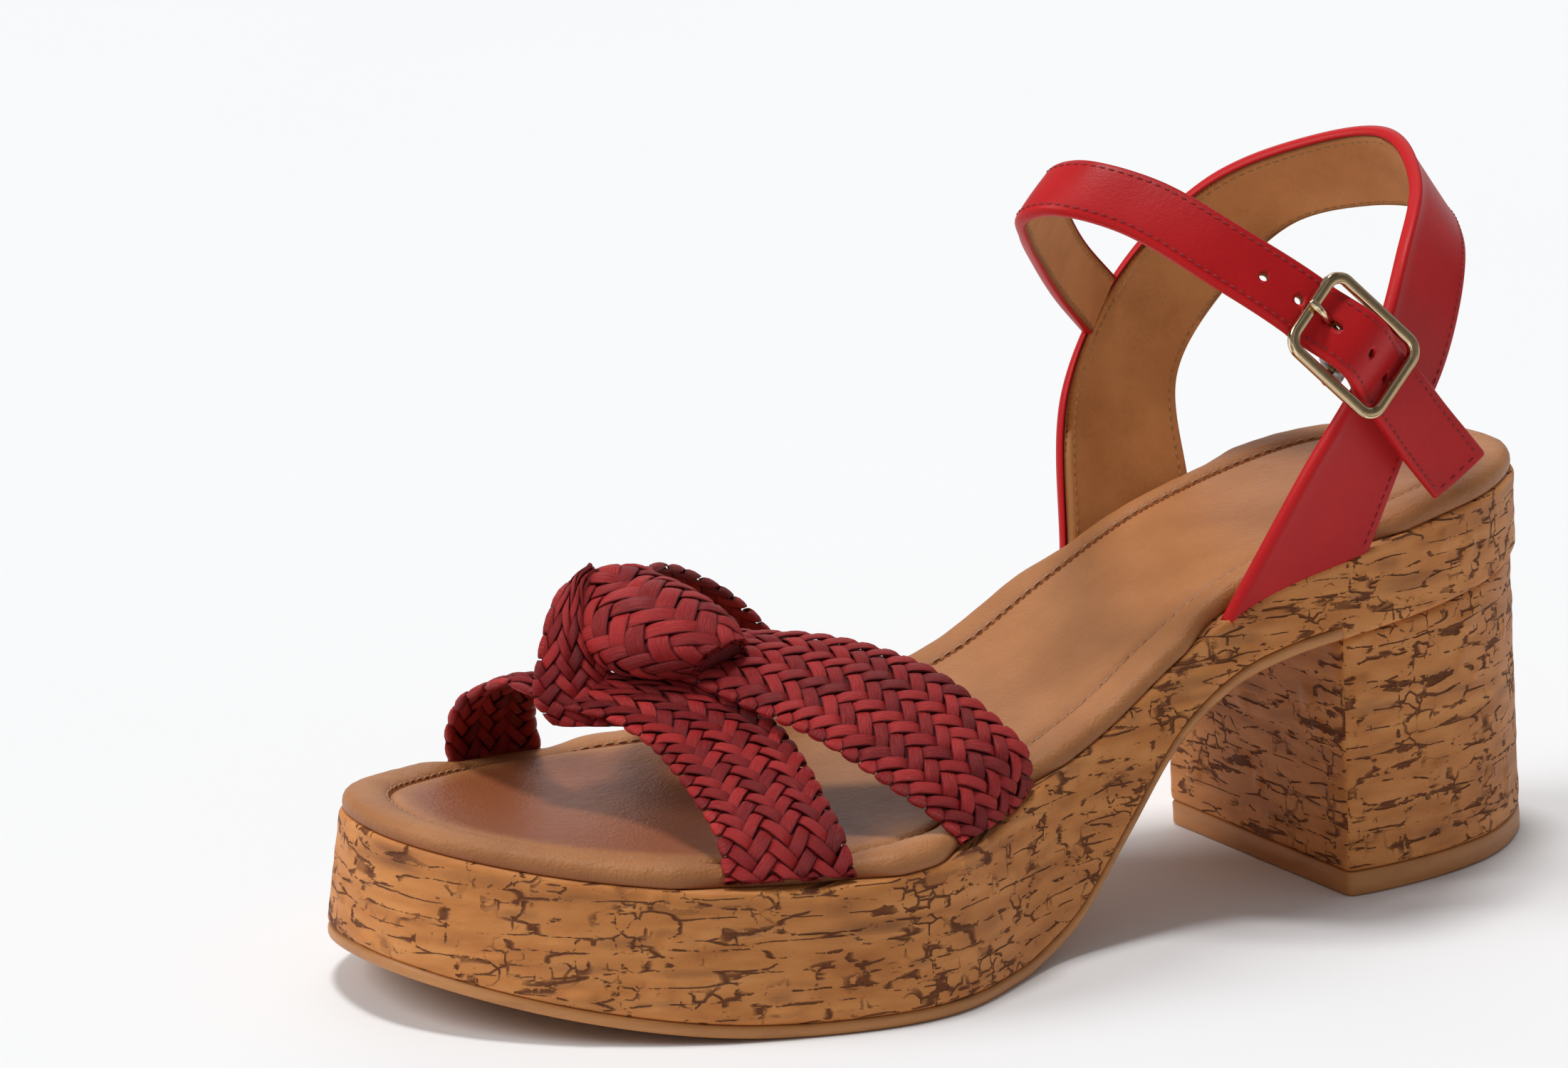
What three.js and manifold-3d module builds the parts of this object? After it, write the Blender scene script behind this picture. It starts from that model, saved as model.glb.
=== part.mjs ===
import * as THREE from 'three';
import { mergeVertices } from 'three/addons/utils/BufferGeometryUtils.js';
import Module from 'manifold-3d';

// Platform sandal for the left foot, in millimetres. X points to the outer (lateral) side,
// Y from the toe to the heel and Z up. The last lines put the origin under the middle.

// sole
const soleLength = 258;
const ballHalfWidth = 59;        // lateral half at the ball, which sets the width of the forepart
const heelHalfWidth = 31;        // at the waist and heel seat
const platformHeight = 28;       // top edge of the cork at its lowest, behind the toes
const heelHeight = 73.7;         // top edge of the cork at the back
const heelLayer = 15.4;          // cork between the heel seat and the heel block
const toeSpring = 10;
const wallFlare = 2.6;           // how far the foot of the cork wall stands out
const outsoleThickness = 2.6;
const topPieceThickness = 4.8;
const heelBreast = 60;           // front face of the heel block, from the back of the sole

// footbed
const boardThickness = 1.2;
const foamThickness = 1.4;
const sockThickness = 1;
const rimWidth = 9;
const rimHeight = 4.6;
const rimInset = 0.6;

// shank and fasteners under the footbed
const shankLength = 92;
const shankWidth = 12;
const shankThickness = 2;
const screwRadius = 2.4;
const screwHeadRadius = 5;
const screwLength = 46;
const nailRadius = 1.2;
const nailHeadRadius = 2.6;
const nailLength = 26;
const headThickness = 1.6;

// leather and woven straps
const leather = 1.3;
const liningThickness = 1.1;
const wovenThickness = 3.2;
const strapWidth = 13.4;
const goreWidth = 11.5;
const goreThickness = 1.5;
const punchRadius = 0.9;
const punchPitch = 7.8;

// buckle
const barRadius = 1.1;
const centreBarRadius = 0.95;
const centreBarDrop = 2.2;       // the centre bar sits this far below the end bars
const buckleReach = 12.1;        // centre bar to either end bar
const buckleSide = 1.9;          // room beside the strap
const buckleCorner = 3;
const prongRadius = 0.75;
const prongHole = 6;             // from the centre bar to the hole that the prong goes through

// clearances
const gap = 0.3;                 // between pieces that are glued or sewn together
const runGap = 0.6;              // round what turns
const seamGap = 5;               // free end of the ankle loop to the sling it is sewn to

const steps = 72;                // corners of the sole's outline

const wasm = await Module();
wasm.setup();

// ---------------------------------------------------------------- small helpers
const vec = (p) => new THREE.Vector3(...p);
const mix = (a, b, k) => a + (b - a) * k;
const smooth = (x) => x * x * (3 - 2 * x);
const clamp01 = (x) => Math.min(1, Math.max(0, x));

// value of a smooth curve through evenly spaced heights, for k from 0 to 1
function through(values, k) {
  const last = values.length - 1;
  const at = Math.min(last - 1, Math.max(0, Math.floor(k * last)));
  const f = k * last - at;
  const [p0, p1, p2, p3] = [-1, 0, 1, 2].map((d) => values[Math.min(last, Math.max(0, at + d))]);
  const m1 = at === 0 ? p2 - p1 : (p2 - p0) / 2;
  const m2 = at + 1 === last ? p2 - p1 : (p3 - p1) / 2;
  return p1 + f * m1 + f * f * (3 * (p2 - p1) - 2 * m1 - m2) + f ** 3 * (2 * (p1 - p2) + m1 + m2);
}

function toGeometry(points, faces) {
  const geometry = new THREE.BufferGeometry();
  geometry.setAttribute('position', new THREE.Float32BufferAttribute(points.flat(), 3));
  geometry.setIndex(faces.flat());
  let volume = 0;
  for (const [a, b, c] of faces) {
    volume += vec(points[a]).dot(vec(points[b]).cross(vec(points[c])));
  }
  if (volume < 0) geometry.setIndex(faces.flatMap(([a, b, c]) => [a, c, b]));
  return geometry;
}

// a solid between two rings whose corners pair up as first and last, second and last but one ...
function slab(top, bottom) {
  const n = top.length;
  const faces = [];
  for (let i = 0; i < n; i++) {
    const j = (i + 1) % n;
    faces.push([i, j, n + j], [i, n + j, n + i]);
  }
  for (let i = 0; i < n / 2 - 1; i++) {
    const [a, b, c, d] = [i, i + 1, n - 2 - i, n - 1 - i];
    faces.push([a, c, b], [a, d, c], [n + a, n + b, n + c], [n + a, n + c, n + d]);
  }
  return toGeometry([...top, ...bottom], faces);
}

// a solid skinned over a row of sections, open with two end caps or closed on itself
function loft(sections, closed = false) {
  const m = sections[0].length;
  const n = sections.length;
  const faces = [];
  for (let i = 0; i < (closed ? n : n - 1); i++) {
    for (let j = 0; j < m; j++) {
      const [a, b] = [i * m + j, i * m + (j + 1) % m];
      const [c, d] = [((i + 1) % n) * m + (j + 1) % m, ((i + 1) % n) * m + j];
      faces.push([a, b, c], [a, c, d]);
    }
  }
  if (!closed) {
    for (let j = 1; j < m - 1; j++) {
      faces.push([0, j + 1, j], [(n - 1) * m, (n - 1) * m + j, (n - 1) * m + j + 1]);
    }
  }
  return toGeometry(sections.flat(), faces);
}

function toManifold(geometry) {
  const bare = geometry.clone();
  bare.deleteAttribute('normal');
  bare.deleteAttribute('uv');
  const merged = mergeVertices(bare, 1e-4);
  return new wasm.Manifold(new wasm.Mesh({
    numProp: 3,
    vertProperties: new Float32Array(merged.attributes.position.array),
    triVerts: new Uint32Array(merged.index.array),
  }));
}

function fromManifold(solid) {
  const mesh = solid.getMesh();
  const geometry = new THREE.BufferGeometry();
  geometry.setAttribute('position', new THREE.BufferAttribute(mesh.vertProperties, 3));
  geometry.setIndex(new THREE.BufferAttribute(mesh.triVerts, 1));
  return geometry;
}

function cut(geometry, tools) {
  return fromManifold(tools.reduce((solid, tool) => solid.subtract(toManifold(tool)), toManifold(geometry)));
}

function join(geometries) {
  return fromManifold(geometries.map(toManifold).reduce((sum, next) => sum.add(next)));
}

// a round pin between two points
function pin(from, to, radius, sides = 16) {
  const axis = vec(to).sub(vec(from));
  const geometry = new THREE.CylinderGeometry(radius, radius, axis.length(), sides);
  geometry.applyQuaternion(new THREE.Quaternion().setFromUnitVectors(new THREE.Vector3(0, 1, 0),
    axis.clone().normalize()));
  geometry.translate(...vec(from).addScaledVector(axis, 0.5).toArray());
  return geometry;
}

// ---------------------------------------------------------------- shape of the sole
// The outline runs down the lateral side and back up the medial side. Its stations are those of
// a circle seen edge on, so that toe and heel come out round. The first five widths are shares of
// the ball's half width and the others of the heel's.
const asWidths = (shares) => shares.map((share, k) => share * (k < 5 ? ballHalfWidth : heelHalfWidth));
const lateralWidths = asWidths([0, 0.3441, 0.6712, 0.922, 1, 1.252, 1.006, 1.065, 0.871, 0.4387, 0]);
const medialWidths = asWidths([0, 0.4068, 0.6678, 0.8373, 0.7627, 1.006, 0.9226, 1, 0.9806, 0.6226, 0]);

const stationY = (u) => soleLength * (1 - Math.cos(Math.PI * u)) / 2;
const stationU = (y) => Math.acos(1 - 2 * clamp01(y / soleLength)) / Math.PI;

function halfWidth(side, y) {
  return through(side > 0 ? lateralWidths : medialWidths, stationU(y));
}

// rise of the cork's top edge from the ball to the back, and of the underside over the arch
const topRamp = [0, 0.012, 0.06, 0.15, 0.29, 0.53, 0.74, 0.86, 0.945, 0.985, 1];
const archRamp = [0, 0.012, 0.1, 0.34, 0.61, 0.765, 0.845, 0.89];
const rampStart = 0.25;
const archStart = 0.4;
const archEnd = 0.78;

function toeLift(y) {
  const t = clamp01(1 - y / soleLength / rampStart);
  return toeSpring * t * t;
}

function topEdge(y) {
  const t = (y / soleLength - rampStart) / (1 - rampStart);
  if (t < 0) return platformHeight + 0.65 * toeLift(y);
  return platformHeight + (heelHeight - platformHeight) * through(topRamp, clamp01(t));
}

const blockTopBack = heelHeight - heelLayer;

function underside(y) {
  const t = y / soleLength;
  if (t < archStart) return toeLift(y);
  if (t < archEnd) return blockTopBack * through(archRamp, (t - archStart) / (archEnd - archStart));
  return blockTopBack * mix(archRamp.at(-1), 1, clamp01((t - archEnd) / (1 - archEnd)));
}

const heelFront = soleLength - heelBreast;
const stations = Array.from({ length: steps / 2 }, (_, k) => (k + 0.5) * 2 / steps);
stations.push(stationU(heelFront - gap), stationU(heelFront));
stations.sort((a, b) => a - b);

// point beside the sole's edge at station u: moved inwards by inset, at the height of its place
function edgeAt(side, u, inset, height) {
  const h = 0.004;
  const [y0, y1] = [stationY(u - h), stationY(u + h)];
  const [dx, dy] = [side * (halfWidth(side, y1) - halfWidth(side, y0)), y1 - y0];
  const n = Math.hypot(dx, dy);
  const y = stationY(u);
  const place = y + inset * side * dx / n;
  return [side * (halfWidth(side, y) - inset * dy / n), place, height(side, place)];
}

const onEdge = (side, y, inset, lift) => edgeAt(side, stationU(y), inset, (s, at) => topEdge(at) + lift);

// Ring round the sole, or round a stretch of it: up the lateral side and back down the medial.
// inset and height are functions of side and y.
function ring(inset, height, from = 0, to = soleLength) {
  const [low, high] = [stationU(from) - 1e-6, stationU(to) + 1e-6];
  const us = stations.filter((u) => u > low && u < high);
  const point = (side) => (u) => edgeAt(side, u, inset(side, stationY(u)), height);
  return [...us.map(point(1)), ...us.reverse().map(point(-1))];
}

const parts = new THREE.Group();

function add(name, geometry, color, roughness = 0.7, metalness = 0) {
  const mesh = new THREE.Mesh(geometry, new THREE.MeshStandardMaterial({ color, roughness, metalness }));
  mesh.name = name;
  parts.add(mesh);
  return mesh;
}

// ---------------------------------------------------------------- sole unit
const flareAt = (y) => mix(wallFlare, 0.8, smooth(clamp01((y / soleLength - 0.5) / 0.25)));

// The outsole follows the underside from the toe to the heel block.
add('outsole', slab(
  ring((s, y) => 0.2 - flareAt(y), (s, y) => underside(y) + outsoleThickness, 0, heelFront - gap),
  ring((s, y) => 0.6 - flareAt(y), (s, y) => underside(y), 0, heelFront - gap),
), 0xb98a58, 0.6);

// The cork platform rests on the outsole as far as the heel block, and then on the block.
const corkBase = (s, y) => underside(y) + (y < heelFront - gap * 0.6 ? outsoleThickness + gap : 0);
const corkBlank = slab(
  ring(() => 0, (s, y) => topEdge(y)),
  ring((s, y) => -flareAt(y), corkBase),
);

// The steel shank lies in a channel in the cork under the waist.
const shankMiddle = soleLength * 0.57;
const shankStart = shankMiddle - shankLength / 2;
function shankSections(grow, deep) {
  const rows = [];
  for (let k = 0; k <= 14; k++) {
    const y = mix(shankStart - grow, shankStart + shankLength + grow, k / 14);
    const half = shankWidth / 2 + grow;
    const bottom = topEdge(y) - shankThickness - gap - deep;
    const top = bottom + shankThickness + (grow ? 12 : 0);
    rows.push([[-half, y, bottom], [half, y, bottom], [half, y, top], [-half, y, top]]);
  }
  return rows;
}

// heel fasteners come down through the heel seat into the block
const fastenerY = soleLength - heelBreast / 2;
const nailPlaces = [[14, -14], [14, 14], [-14, -14], [-14, 14]];

function fastener(x, y, radius, headRadius, length, grow) {
  const head = topEdge(y) - gap - headThickness;
  const room = grow ? 8 : 0;
  return join([
    pin([x, y, head - length - grow], [x, y, head + 0.1], radius + grow),
    pin([x, y, head - grow], [x, y, head + headThickness + room], headRadius + grow, 20),
  ]);
}

const fasteners = [
  { name: 'heel_screw', at: [0, fastenerY], size: [screwRadius, screwHeadRadius, screwLength] },
  ...nailPlaces.map(([dx, dy], i) => ({
    name: `heel_nail_${i + 1}`,
    at: [dx, fastenerY + dy],
    size: [nailRadius, nailHeadRadius, nailLength],
  })),
];
const fastenerHoles = () => fasteners.map(({ at, size }) => fastener(...at, ...size, gap));

add('platform_midsole', cut(corkBlank, [
  loft(shankSections(gap, gap)),
  ...fastenerHoles(),
]), 0xb5793c, 0.85);
add('shank', loft(shankSections(0, 0)), 0x8f9296, 0.4, 1);
for (const { name, at, size } of fasteners) add(name, fastener(...at, ...size, 0), 0x9a9c9f, 0.4, 1);

// The heel block stands a little outwards at its foot and leans to the lateral side.
const blockFoot = topPieceThickness + gap;
const blockGrow = (level) => (s, y) => {
  const back = smooth(clamp01((y - heelFront) / heelBreast));
  return 0.4 - level * mix(s > 0 ? 3.6 : -3.4, 1.6, back);
};
const blockTop = (s, y) => underside(y) - gap;
const footLevel = 1 - blockFoot / blockTopBack;
add('heel_block', cut(slab(
  ring(blockGrow(0), blockTop, heelFront),
  ring(blockGrow(footLevel), () => blockFoot, heelFront),
), fastenerHoles()), 0xb5793c, 0.85);
add('heel_top_piece', slab(
  ring(blockGrow(footLevel), () => topPieceThickness, heelFront),
  ring(blockGrow(1), () => 0, heelFront),
), 0xa87640, 0.6);

// ---------------------------------------------------------------- footbed
// The straps come down outside the rim, which is set back for them at their feet.
const slingFoot = { front: soleLength - 86, rear: soleLength - 54 };
const footSpan = (shares) => shares.map((share) => share * soleLength);
const feet = {
  rearLateral: footSpan([0.38, 0.469]),
  rearMedial: footSpan([0.372, 0.457]),
  frontLateral: footSpan([0.18, 0.269]),
  frontMedial: footSpan([0.169, 0.25]),
};
const slingRecess = gap + leather + gap + liningThickness + 5 * gap;
const wovenRecess = gap + wovenThickness + 8 * gap;
const slingStretches = [[1, slingFoot.front, slingFoot.rear], [-1, slingFoot.front, slingFoot.rear]];
const wovenStretches = [
  [1, ...feet.rearLateral], [-1, ...feet.rearMedial],
  [1, ...feet.frontLateral], [-1, ...feet.frontMedial],
];
const easing = 9;
const pressedRim = 0.4;          // height left where a woven strap crosses the rim

function nearest(stretches, side, y) {
  const shares = stretches.filter(([s]) => s === side).map(([, from, to]) => (
    smooth(clamp01(1 - Math.max(from - y, y - to, 0) / easing))));
  return Math.max(0, ...shares);
}

const rimOuter = (side, y) => Math.max(
  mix(rimInset, slingRecess, nearest(slingStretches, side, y)),
  mix(rimInset, wovenRecess, nearest(wovenStretches, side, y)),
);
const rimTop = (side, y) => rimHeight * mix(1, pressedRim, nearest(wovenStretches, side, y));

const rimInner = rimInset + rimWidth;
function rimRing(inset, share, lift = gap) {
  return ring(inset, (s, y) => topEdge(y) + lift + share * rimTop(s, y));
}
const rimRings = [
  rimRing(rimOuter, 0),
  rimRing(rimOuter, 0.5),
  rimRing((s, y) => rimOuter(s, y) + 1.4, 0.9),
  rimRing((s, y) => mix(rimOuter(s, y), rimInner, 0.55), 1),
  rimRing(() => rimInner, 0.8),
  rimRing(() => rimInner, 0),
];
const rimSections = rimRings[0].map((_, k) => rimRings.map((points) => points[k]));
add('footbed_rim', loft(rimSections, true), 0xa9744a, 0.6);

let layerTop = gap;
for (const [name, thickness, color] of [
  ['insole_board', boardThickness, 0x8a6b4a],
  ['footbed_foam', foamThickness, 0xd9cdb8],
  ['sock_lining', sockThickness, 0xa9744a],
]) {
  const low = layerTop;
  add(name, slab(
    rimRing(() => rimInner + gap, 0, low + thickness),
    rimRing(() => rimInner + gap, 0, low),
  ), color, 0.65);
  layerTop += thickness + gap;
}

// ---------------------------------------------------------------- straps
// A strap is a surface between its two edges, given as rows of points from one foot to the other,
// with layers of leather laid on either side of it.
const curve = (points) => new THREE.CatmullRomCurve3(points.map(vec), false, 'centripetal');

function edgesSurface(edgeA, edgeB, lines) {
  const [a, b] = [curve(edgeA), curve(edgeB)];
  return (s, w) => {
    const p = a.getPointAt(s).lerp(b.getPointAt(s), w);
    if (lines) {
      for (const [end, line] of [[0, lines[0]], [1, lines[1]]]) {
        const k = clamp01(1 - Math.abs(s - end) / 0.1) ** 2;
        if (k > 0) {
          const straight = a.getPointAt(end).lerp(b.getPointAt(end), w);
          p.addScaledVector(vec(line(w)).sub(straight), k);
        }
      }
    }
    return p;
  };
}

function normalOn(surface, s, w) {
  const h = 0.004;
  const along = surface(Math.min(1, s + h), w).sub(surface(Math.max(0, s - h), w));
  const across = surface(s, Math.min(1, w + 0.1)).sub(surface(s, Math.max(0, w - 0.1)));
  return along.cross(across).normalize();
}

// one layer of a strap: rows along it, columns across, between two offsets from its surface
function layer(surface, rows, columns, low, high, outward = 1) {
  const sections = rows.map((s) => {
    const point = (w, offset) => surface(s, w)
      .addScaledVector(normalOn(surface, s, w), offset * outward).toArray();
    return [
      ...columns.map((w) => point(w, high)),
      ...columns.slice().reverse().map((w) => point(w, low)),
    ];
  });
  return loft(sections);
}

const even = (count, from = 0, to = 1) => (
  Array.from({ length: count + 1 }, (_, k) => mix(from, to, k / count)));

// The sling rises from both sides of the waist and closes behind the ankle. Its points are given
// as a share of the heel's half width, distance from the back, and height over the heel seat.
const byHeel = ([share, back, up]) => [share * heelHalfWidth, soleLength - back, heelHeight + up];
const slingInset = gap + leather;
const footLift = 1.8;            // the feet's lower edges stay clear of the cork
const slingFrontEdge = [
  onEdge(1, slingFoot.front, slingInset, footLift),
  ...[
    [1.21, 74, 12], [1.303, 60.3, 34.5], [1.058, 47.7, 53], [0.59, 34.5, 63.5], [-0.016, 28.6, 68.6],
    [-0.6, 35.6, 64], [-1.087, 48.5, 54.3], [-1.313, 64, 37], [-1.181, 79.3, 15.2],
  ].map(byHeel),
  onEdge(-1, slingFoot.front, slingInset, footLift),
];
const slingRearEdge = [
  onEdge(1, slingFoot.rear, slingInset, footLift),
  ...[
    [1.116, 47.4, 14], [1.116, 38.6, 30.5], [0.9, 29.7, 44.1], [0.49, 21.2, 49.3], [-0.01, 15.6, 51.2],
    [-0.523, 19.3, 50], [-0.948, 28.9, 45], [-1.129, 41.2, 32.3], [-1.174, 52.2, 15.8],
  ].map(byHeel),
  onEdge(-1, slingFoot.rear, slingInset, footLift),
];
const footLine = (side, [front, rear], inset) => (w) => onEdge(side, mix(front, rear, w), inset, footLift);
const slingSpan = [slingFoot.front, slingFoot.rear];
const sling = edgesSurface(slingFrontEdge, slingRearEdge,
  [footLine(1, slingSpan, slingInset), footLine(-1, slingSpan, slingInset)]);
const slingRows = even(44);
add('sling_outer', layer(sling, slingRows, even(4), 0, leather, -1), 0xa01822, 0.45);
add('sling_lining', layer(sling, slingRows, even(4, 0.01, 0.99), -gap - liningThickness, -gap, -1),
  0xb5793f, 0.6);

// The two woven straps cross under the knot: front edge and rear edge, lateral foot to medial foot.
// Their points are shares of the ball's half width and of the length, and heights over the platform.
const byBall = ([across, along, up]) => (
  [across * ballHalfWidth, along * soleLength, platformHeight + up]);
const wovenInset = gap + wovenThickness / 2;
function wovenStrap(name, rows, lateral, medial, columns) {
  const ends = [[1, lateral], [-1, medial]].map(([side, span]) => footLine(side, span, wovenInset));
  const edge = (w) => [ends[0](w), ...rows.map((row) => byBall(row[w])), ends[1](w)];
  const surface = edgesSurface(edge(0), edge(1), ends);
  add(name, layer(surface, even(30), columns, -wovenThickness / 2, wovenThickness / 2), 0x9c1f28, 0.5);
}
wovenStrap('woven_strap_rear', [
  [[0.881, 0.359, 8], [0.729, 0.453, 15.5]],
  [[0.822, 0.335, 13.2], [0.627, 0.438, 21.5]],
  [[0.695, 0.314, 18.5], [0.492, 0.419, 27.5]],
  [[0.568, 0.295, 22.7], [0.339, 0.395, 31]],
  [[0.424, 0.281, 24.7], [0.186, 0.36, 33.5]],
  [[0.22, 0.262, 27.6], [0.034, 0.324, 33.8]],
  [[0.034, 0.248, 30], [-0.102, 0.297, 33.8]],
  [[-0.153, 0.242, 32], [-0.22, 0.285, 35]],
  [[-0.322, 0.24, 33.5], [-0.339, 0.285, 37]],
  [[-0.475, 0.26, 32], [-0.441, 0.31, 38.5]],
  [[-0.593, 0.287, 28.5], [-0.5, 0.341, 36.5]],
  [[-0.686, 0.314, 22.5], [-0.551, 0.38, 31.5]],
  [[-0.737, 0.341, 14.5], [-0.593, 0.419, 23]],
], feet.rearLateral, feet.rearMedial, even(2));
wovenStrap('woven_strap_front', [
  [[0.771, 0.188, 8.5], [0.898, 0.269, 8.5]],
  [[0.593, 0.195, 13.5], [0.737, 0.277, 13]],
  [[0.407, 0.2, 17.5], [0.559, 0.285, 17.5]],
  [[0.22, 0.202, 19.5], [0.339, 0.287, 20.5]],
  [[0.051, 0.194, 20.5], [0.136, 0.256, 21]],
  [[-0.085, 0.182, 21.5], [-0.034, 0.221, 21.5]],
  [[-0.22, 0.172, 22.5], [-0.186, 0.205, 23]],
  [[-0.373, 0.167, 22.5], [-0.339, 0.202, 22.5]],
  [[-0.525, 0.163, 20.5], [-0.508, 0.205, 20]],
  [[-0.653, 0.161, 16], [-0.644, 0.221, 14.5]],
  [[-0.737, 0.163, 9.5], [-0.754, 0.236, 8.5]],
], feet.frontLateral, feet.frontMedial, even(2));

// The knot lies over the place where they cross: a folded lobe on top, and in front of it a neck
// that is gathered at the lobe and fans out down to the front strap. Each row is the outer
// surface's front and rear edge, and the thickness at the edges and in the middle.
function pillow(rows, down) {
  const columns = even(6);
  return loft(rows.map(([front, rear, thin, thick]) => {
    const [a, b] = [vec(byBall(front)), vec(byBall(rear))];
    const at = (w, low) => {
      const swell = 4 * w * (1 - w);
      const depth = low ? mix(thin, thick, swell) : -0.35 * (thick - thin) * swell;
      return a.clone().lerp(b, w).addScaledVector(vec(down), depth).toArray();
    };
    return [...columns.map((w) => at(w, false)), ...columns.slice().reverse().map((w) => at(w, true))];
  }));
}
const lobe = pillow([
  [[-0.345, 0.233, 40.6], [-0.348, 0.252, 41.4], 1.6, 2.2],
  [[-0.325, 0.216, 40], [-0.33, 0.265, 42.8], 2.2, 3.6],
  [[-0.24, 0.203, 37.8], [-0.25, 0.275, 42.2], 2.6, 4.4],
  [[-0.13, 0.196, 35.9], [-0.13, 0.28, 41.4], 2, 3.6],
  [[-0.03, 0.197, 33.8], [0, 0.288, 40], 1.8, 3],
  [[0.055, 0.213, 32], [0.085, 0.294, 38.6], 1.8, 2.8],
  [[0.11, 0.238, 32.4], [0.14, 0.292, 37.2], 1.4, 2.2],
  [[0.15, 0.257, 32.4], [0.16, 0.28, 35.4], 1.2, 1.6],
], [0.1, 0.25, -0.96]);
const neck = pillow([
  [[-0.33, 0.219, 40.6], [-0.27, 0.208, 38.8], 1.8, 2.4],
  [[-0.3, 0.19, 37.2], [-0.19, 0.195, 35.8], 2, 3],
  [[-0.23, 0.169, 32.5], [-0.09, 0.18, 31.2], 2, 3],
  [[-0.17, 0.154, 26.5], [0.02, 0.169, 26.4], 2, 3],
  [[-0.14, 0.147, 21], [0.08, 0.165, 21.6], 1.8, 2.4],
], [0.1, 0.8, 0.1]);
add('knot_wrap', join([lobe, neck]), 0x9c1f28, 0.5);

// ---------------------------------------------------------------- ankle loop
// The strap starts at the sling's medial front edge, goes round in front of the ankle, through the
// buckle and past it on the lateral side. Each row is a point of its middle and its lean across.
const ankleRows = [
  [[-1.303, 67.8, 30.5], [-0.15, 0.55, 0.82]],
  [[-0.987, 81.6, 41.3], [-0.2, 0.55, 0.81]],
  [[-0.61, 94.1, 51.9], [-0.17, 0.6, 0.78]],
  [[-0.268, 103.2, 59.5], [-0.1, 0.68, 0.72]],
  [[-0.032, 108.3, 65.2], [-0.08, 0.72, 0.69]],
  [[0.242, 107, 67.9], [-0.1, 0.76, 0.64]],
  [[0.594, 98.4, 65.3], [-0.14, 0.78, 0.61]],
  [[1.052, 87.5, 56.7], [-0.14, 0.75, 0.64]],
  [[1.387, 75.1, 46.4], [-0.12, 0.72, 0.69]],
  [[1.471, 60.9, 32.6], [-0.05, 0.7, 0.71]],
  [[1.387, 48.3, 19.1], [0.16, 0.7, 0.7]],
  [[1.31, 38.9, 9.6], [0.35, 0.66, 0.66]],
];
const ankleMiddle = curve(ankleRows.map(([p]) => byHeel(p)));
const ankleLean = new THREE.CatmullRomCurve3(ankleRows.map(([, lean]) => vec(lean)));
const ankleLength = ankleMiddle.getLength();
const leanAt = (s) => ankleLean.getPoint(ankleMiddle.getUtoTmapping(s)).normalize();
const stack = leather + gap + liningThickness;

// The buckle's own axes: along the strap, across it, and out from the leg.
const buckleAt = 0.767 * ankleLength;
const barPoint = (side) => ankleMiddle.getPointAt((buckleAt + side * buckleReach) / ankleLength);
const alongBuckle = barPoint(1).sub(barPoint(-1)).normalize();
const outBuckle = alongBuckle.clone().cross(leanAt(buckleAt / ankleLength)).normalize();
if (outBuckle.x < 0) outBuckle.negate();
const acrossBuckle = outBuckle.clone().cross(alongBuckle).normalize();
const endBarLift = stack / 2 + runGap + barRadius;
const buckleCentre = barPoint(-1).lerp(barPoint(1), 0.5).addScaledVector(outBuckle, endBarLift);
const inBuckle = (along, across, out) => buckleCentre.clone()
  .addScaledVector(alongBuckle, along)
  .addScaledVector(acrossBuckle, across)
  .addScaledVector(outBuckle, out).toArray();

// under the front bar, over the centre bar and the gore round it, under the rear bar
const loopRadius = centreBarRadius + runGap + goreThickness / 2;
const overCentre = -centreBarDrop + loopRadius + goreThickness / 2 + gap + stack / 2 + endBarLift;
function ankleSurface(s, w) {
  const at = s * ankleLength - buckleAt;
  const middle = ankleMiddle.getPointAt(clamp01(s));
  if (Math.abs(at) < buckleReach) {
    const flat = barPoint(-1).lerp(barPoint(1), 0.5 + at / buckleReach / 2);
    flat.addScaledVector(outBuckle, overCentre * Math.cos(at / buckleReach * Math.PI / 2) ** 2);
    middle.copy(flat);
  }
  return middle.addScaledVector(leanAt(clamp01(s)), strapWidth * (w - 0.5));
}

const strapEnd = seamGap / ankleLength;
const near = buckleReach / ankleLength;
const centre = buckleAt / ankleLength;
const ankleStations = [
  ...even(26, strapEnd, centre - near), ...even(16, centre - near, centre + near).slice(1, -1),
  ...even(14, centre + near, 1),
];
const outer = stack / 2;

// punched holes, and a longer one where the prong comes up through the strap
function punch(at, stretch, width) {
  const along = ankleMiddle.getTangentAt(at / ankleLength);
  const out = normalOn(ankleSurface, at / ankleLength, 0.5);
  const across = along.clone().cross(out).normalize();
  const tool = new THREE.CylinderGeometry(1, 1, 12, 12);
  tool.applyMatrix4(new THREE.Matrix4().makeBasis(along.multiplyScalar(stretch), out,
    across.multiplyScalar(width)));
  return tool.translate(...ankleSurface(at / ankleLength, 0.5).toArray());
}
const firstHole = buckleAt - prongHole;
const punches = () => [
  ...[-2, -1, 1, 2].map((k) => punch(firstHole + k * punchPitch, punchRadius, punchRadius)),
  punch(firstHole - 0.4, 2.9, prongRadius + gap),
];
const strapSign = normalOn(ankleSurface, 0.9, 0.5).x > 0 ? 1 : -1;
add('ankle_strap', cut(layer(ankleSurface, ankleStations, [0, 1], outer - leather, outer, strapSign),
  punches()), 0xa01822, 0.45);
add('ankle_strap_lining', cut(layer(ankleSurface, ankleStations, [0.02, 0.98],
  -outer, -outer + liningThickness, strapSign), punches()), 0xb5793f, 0.6);

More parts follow.
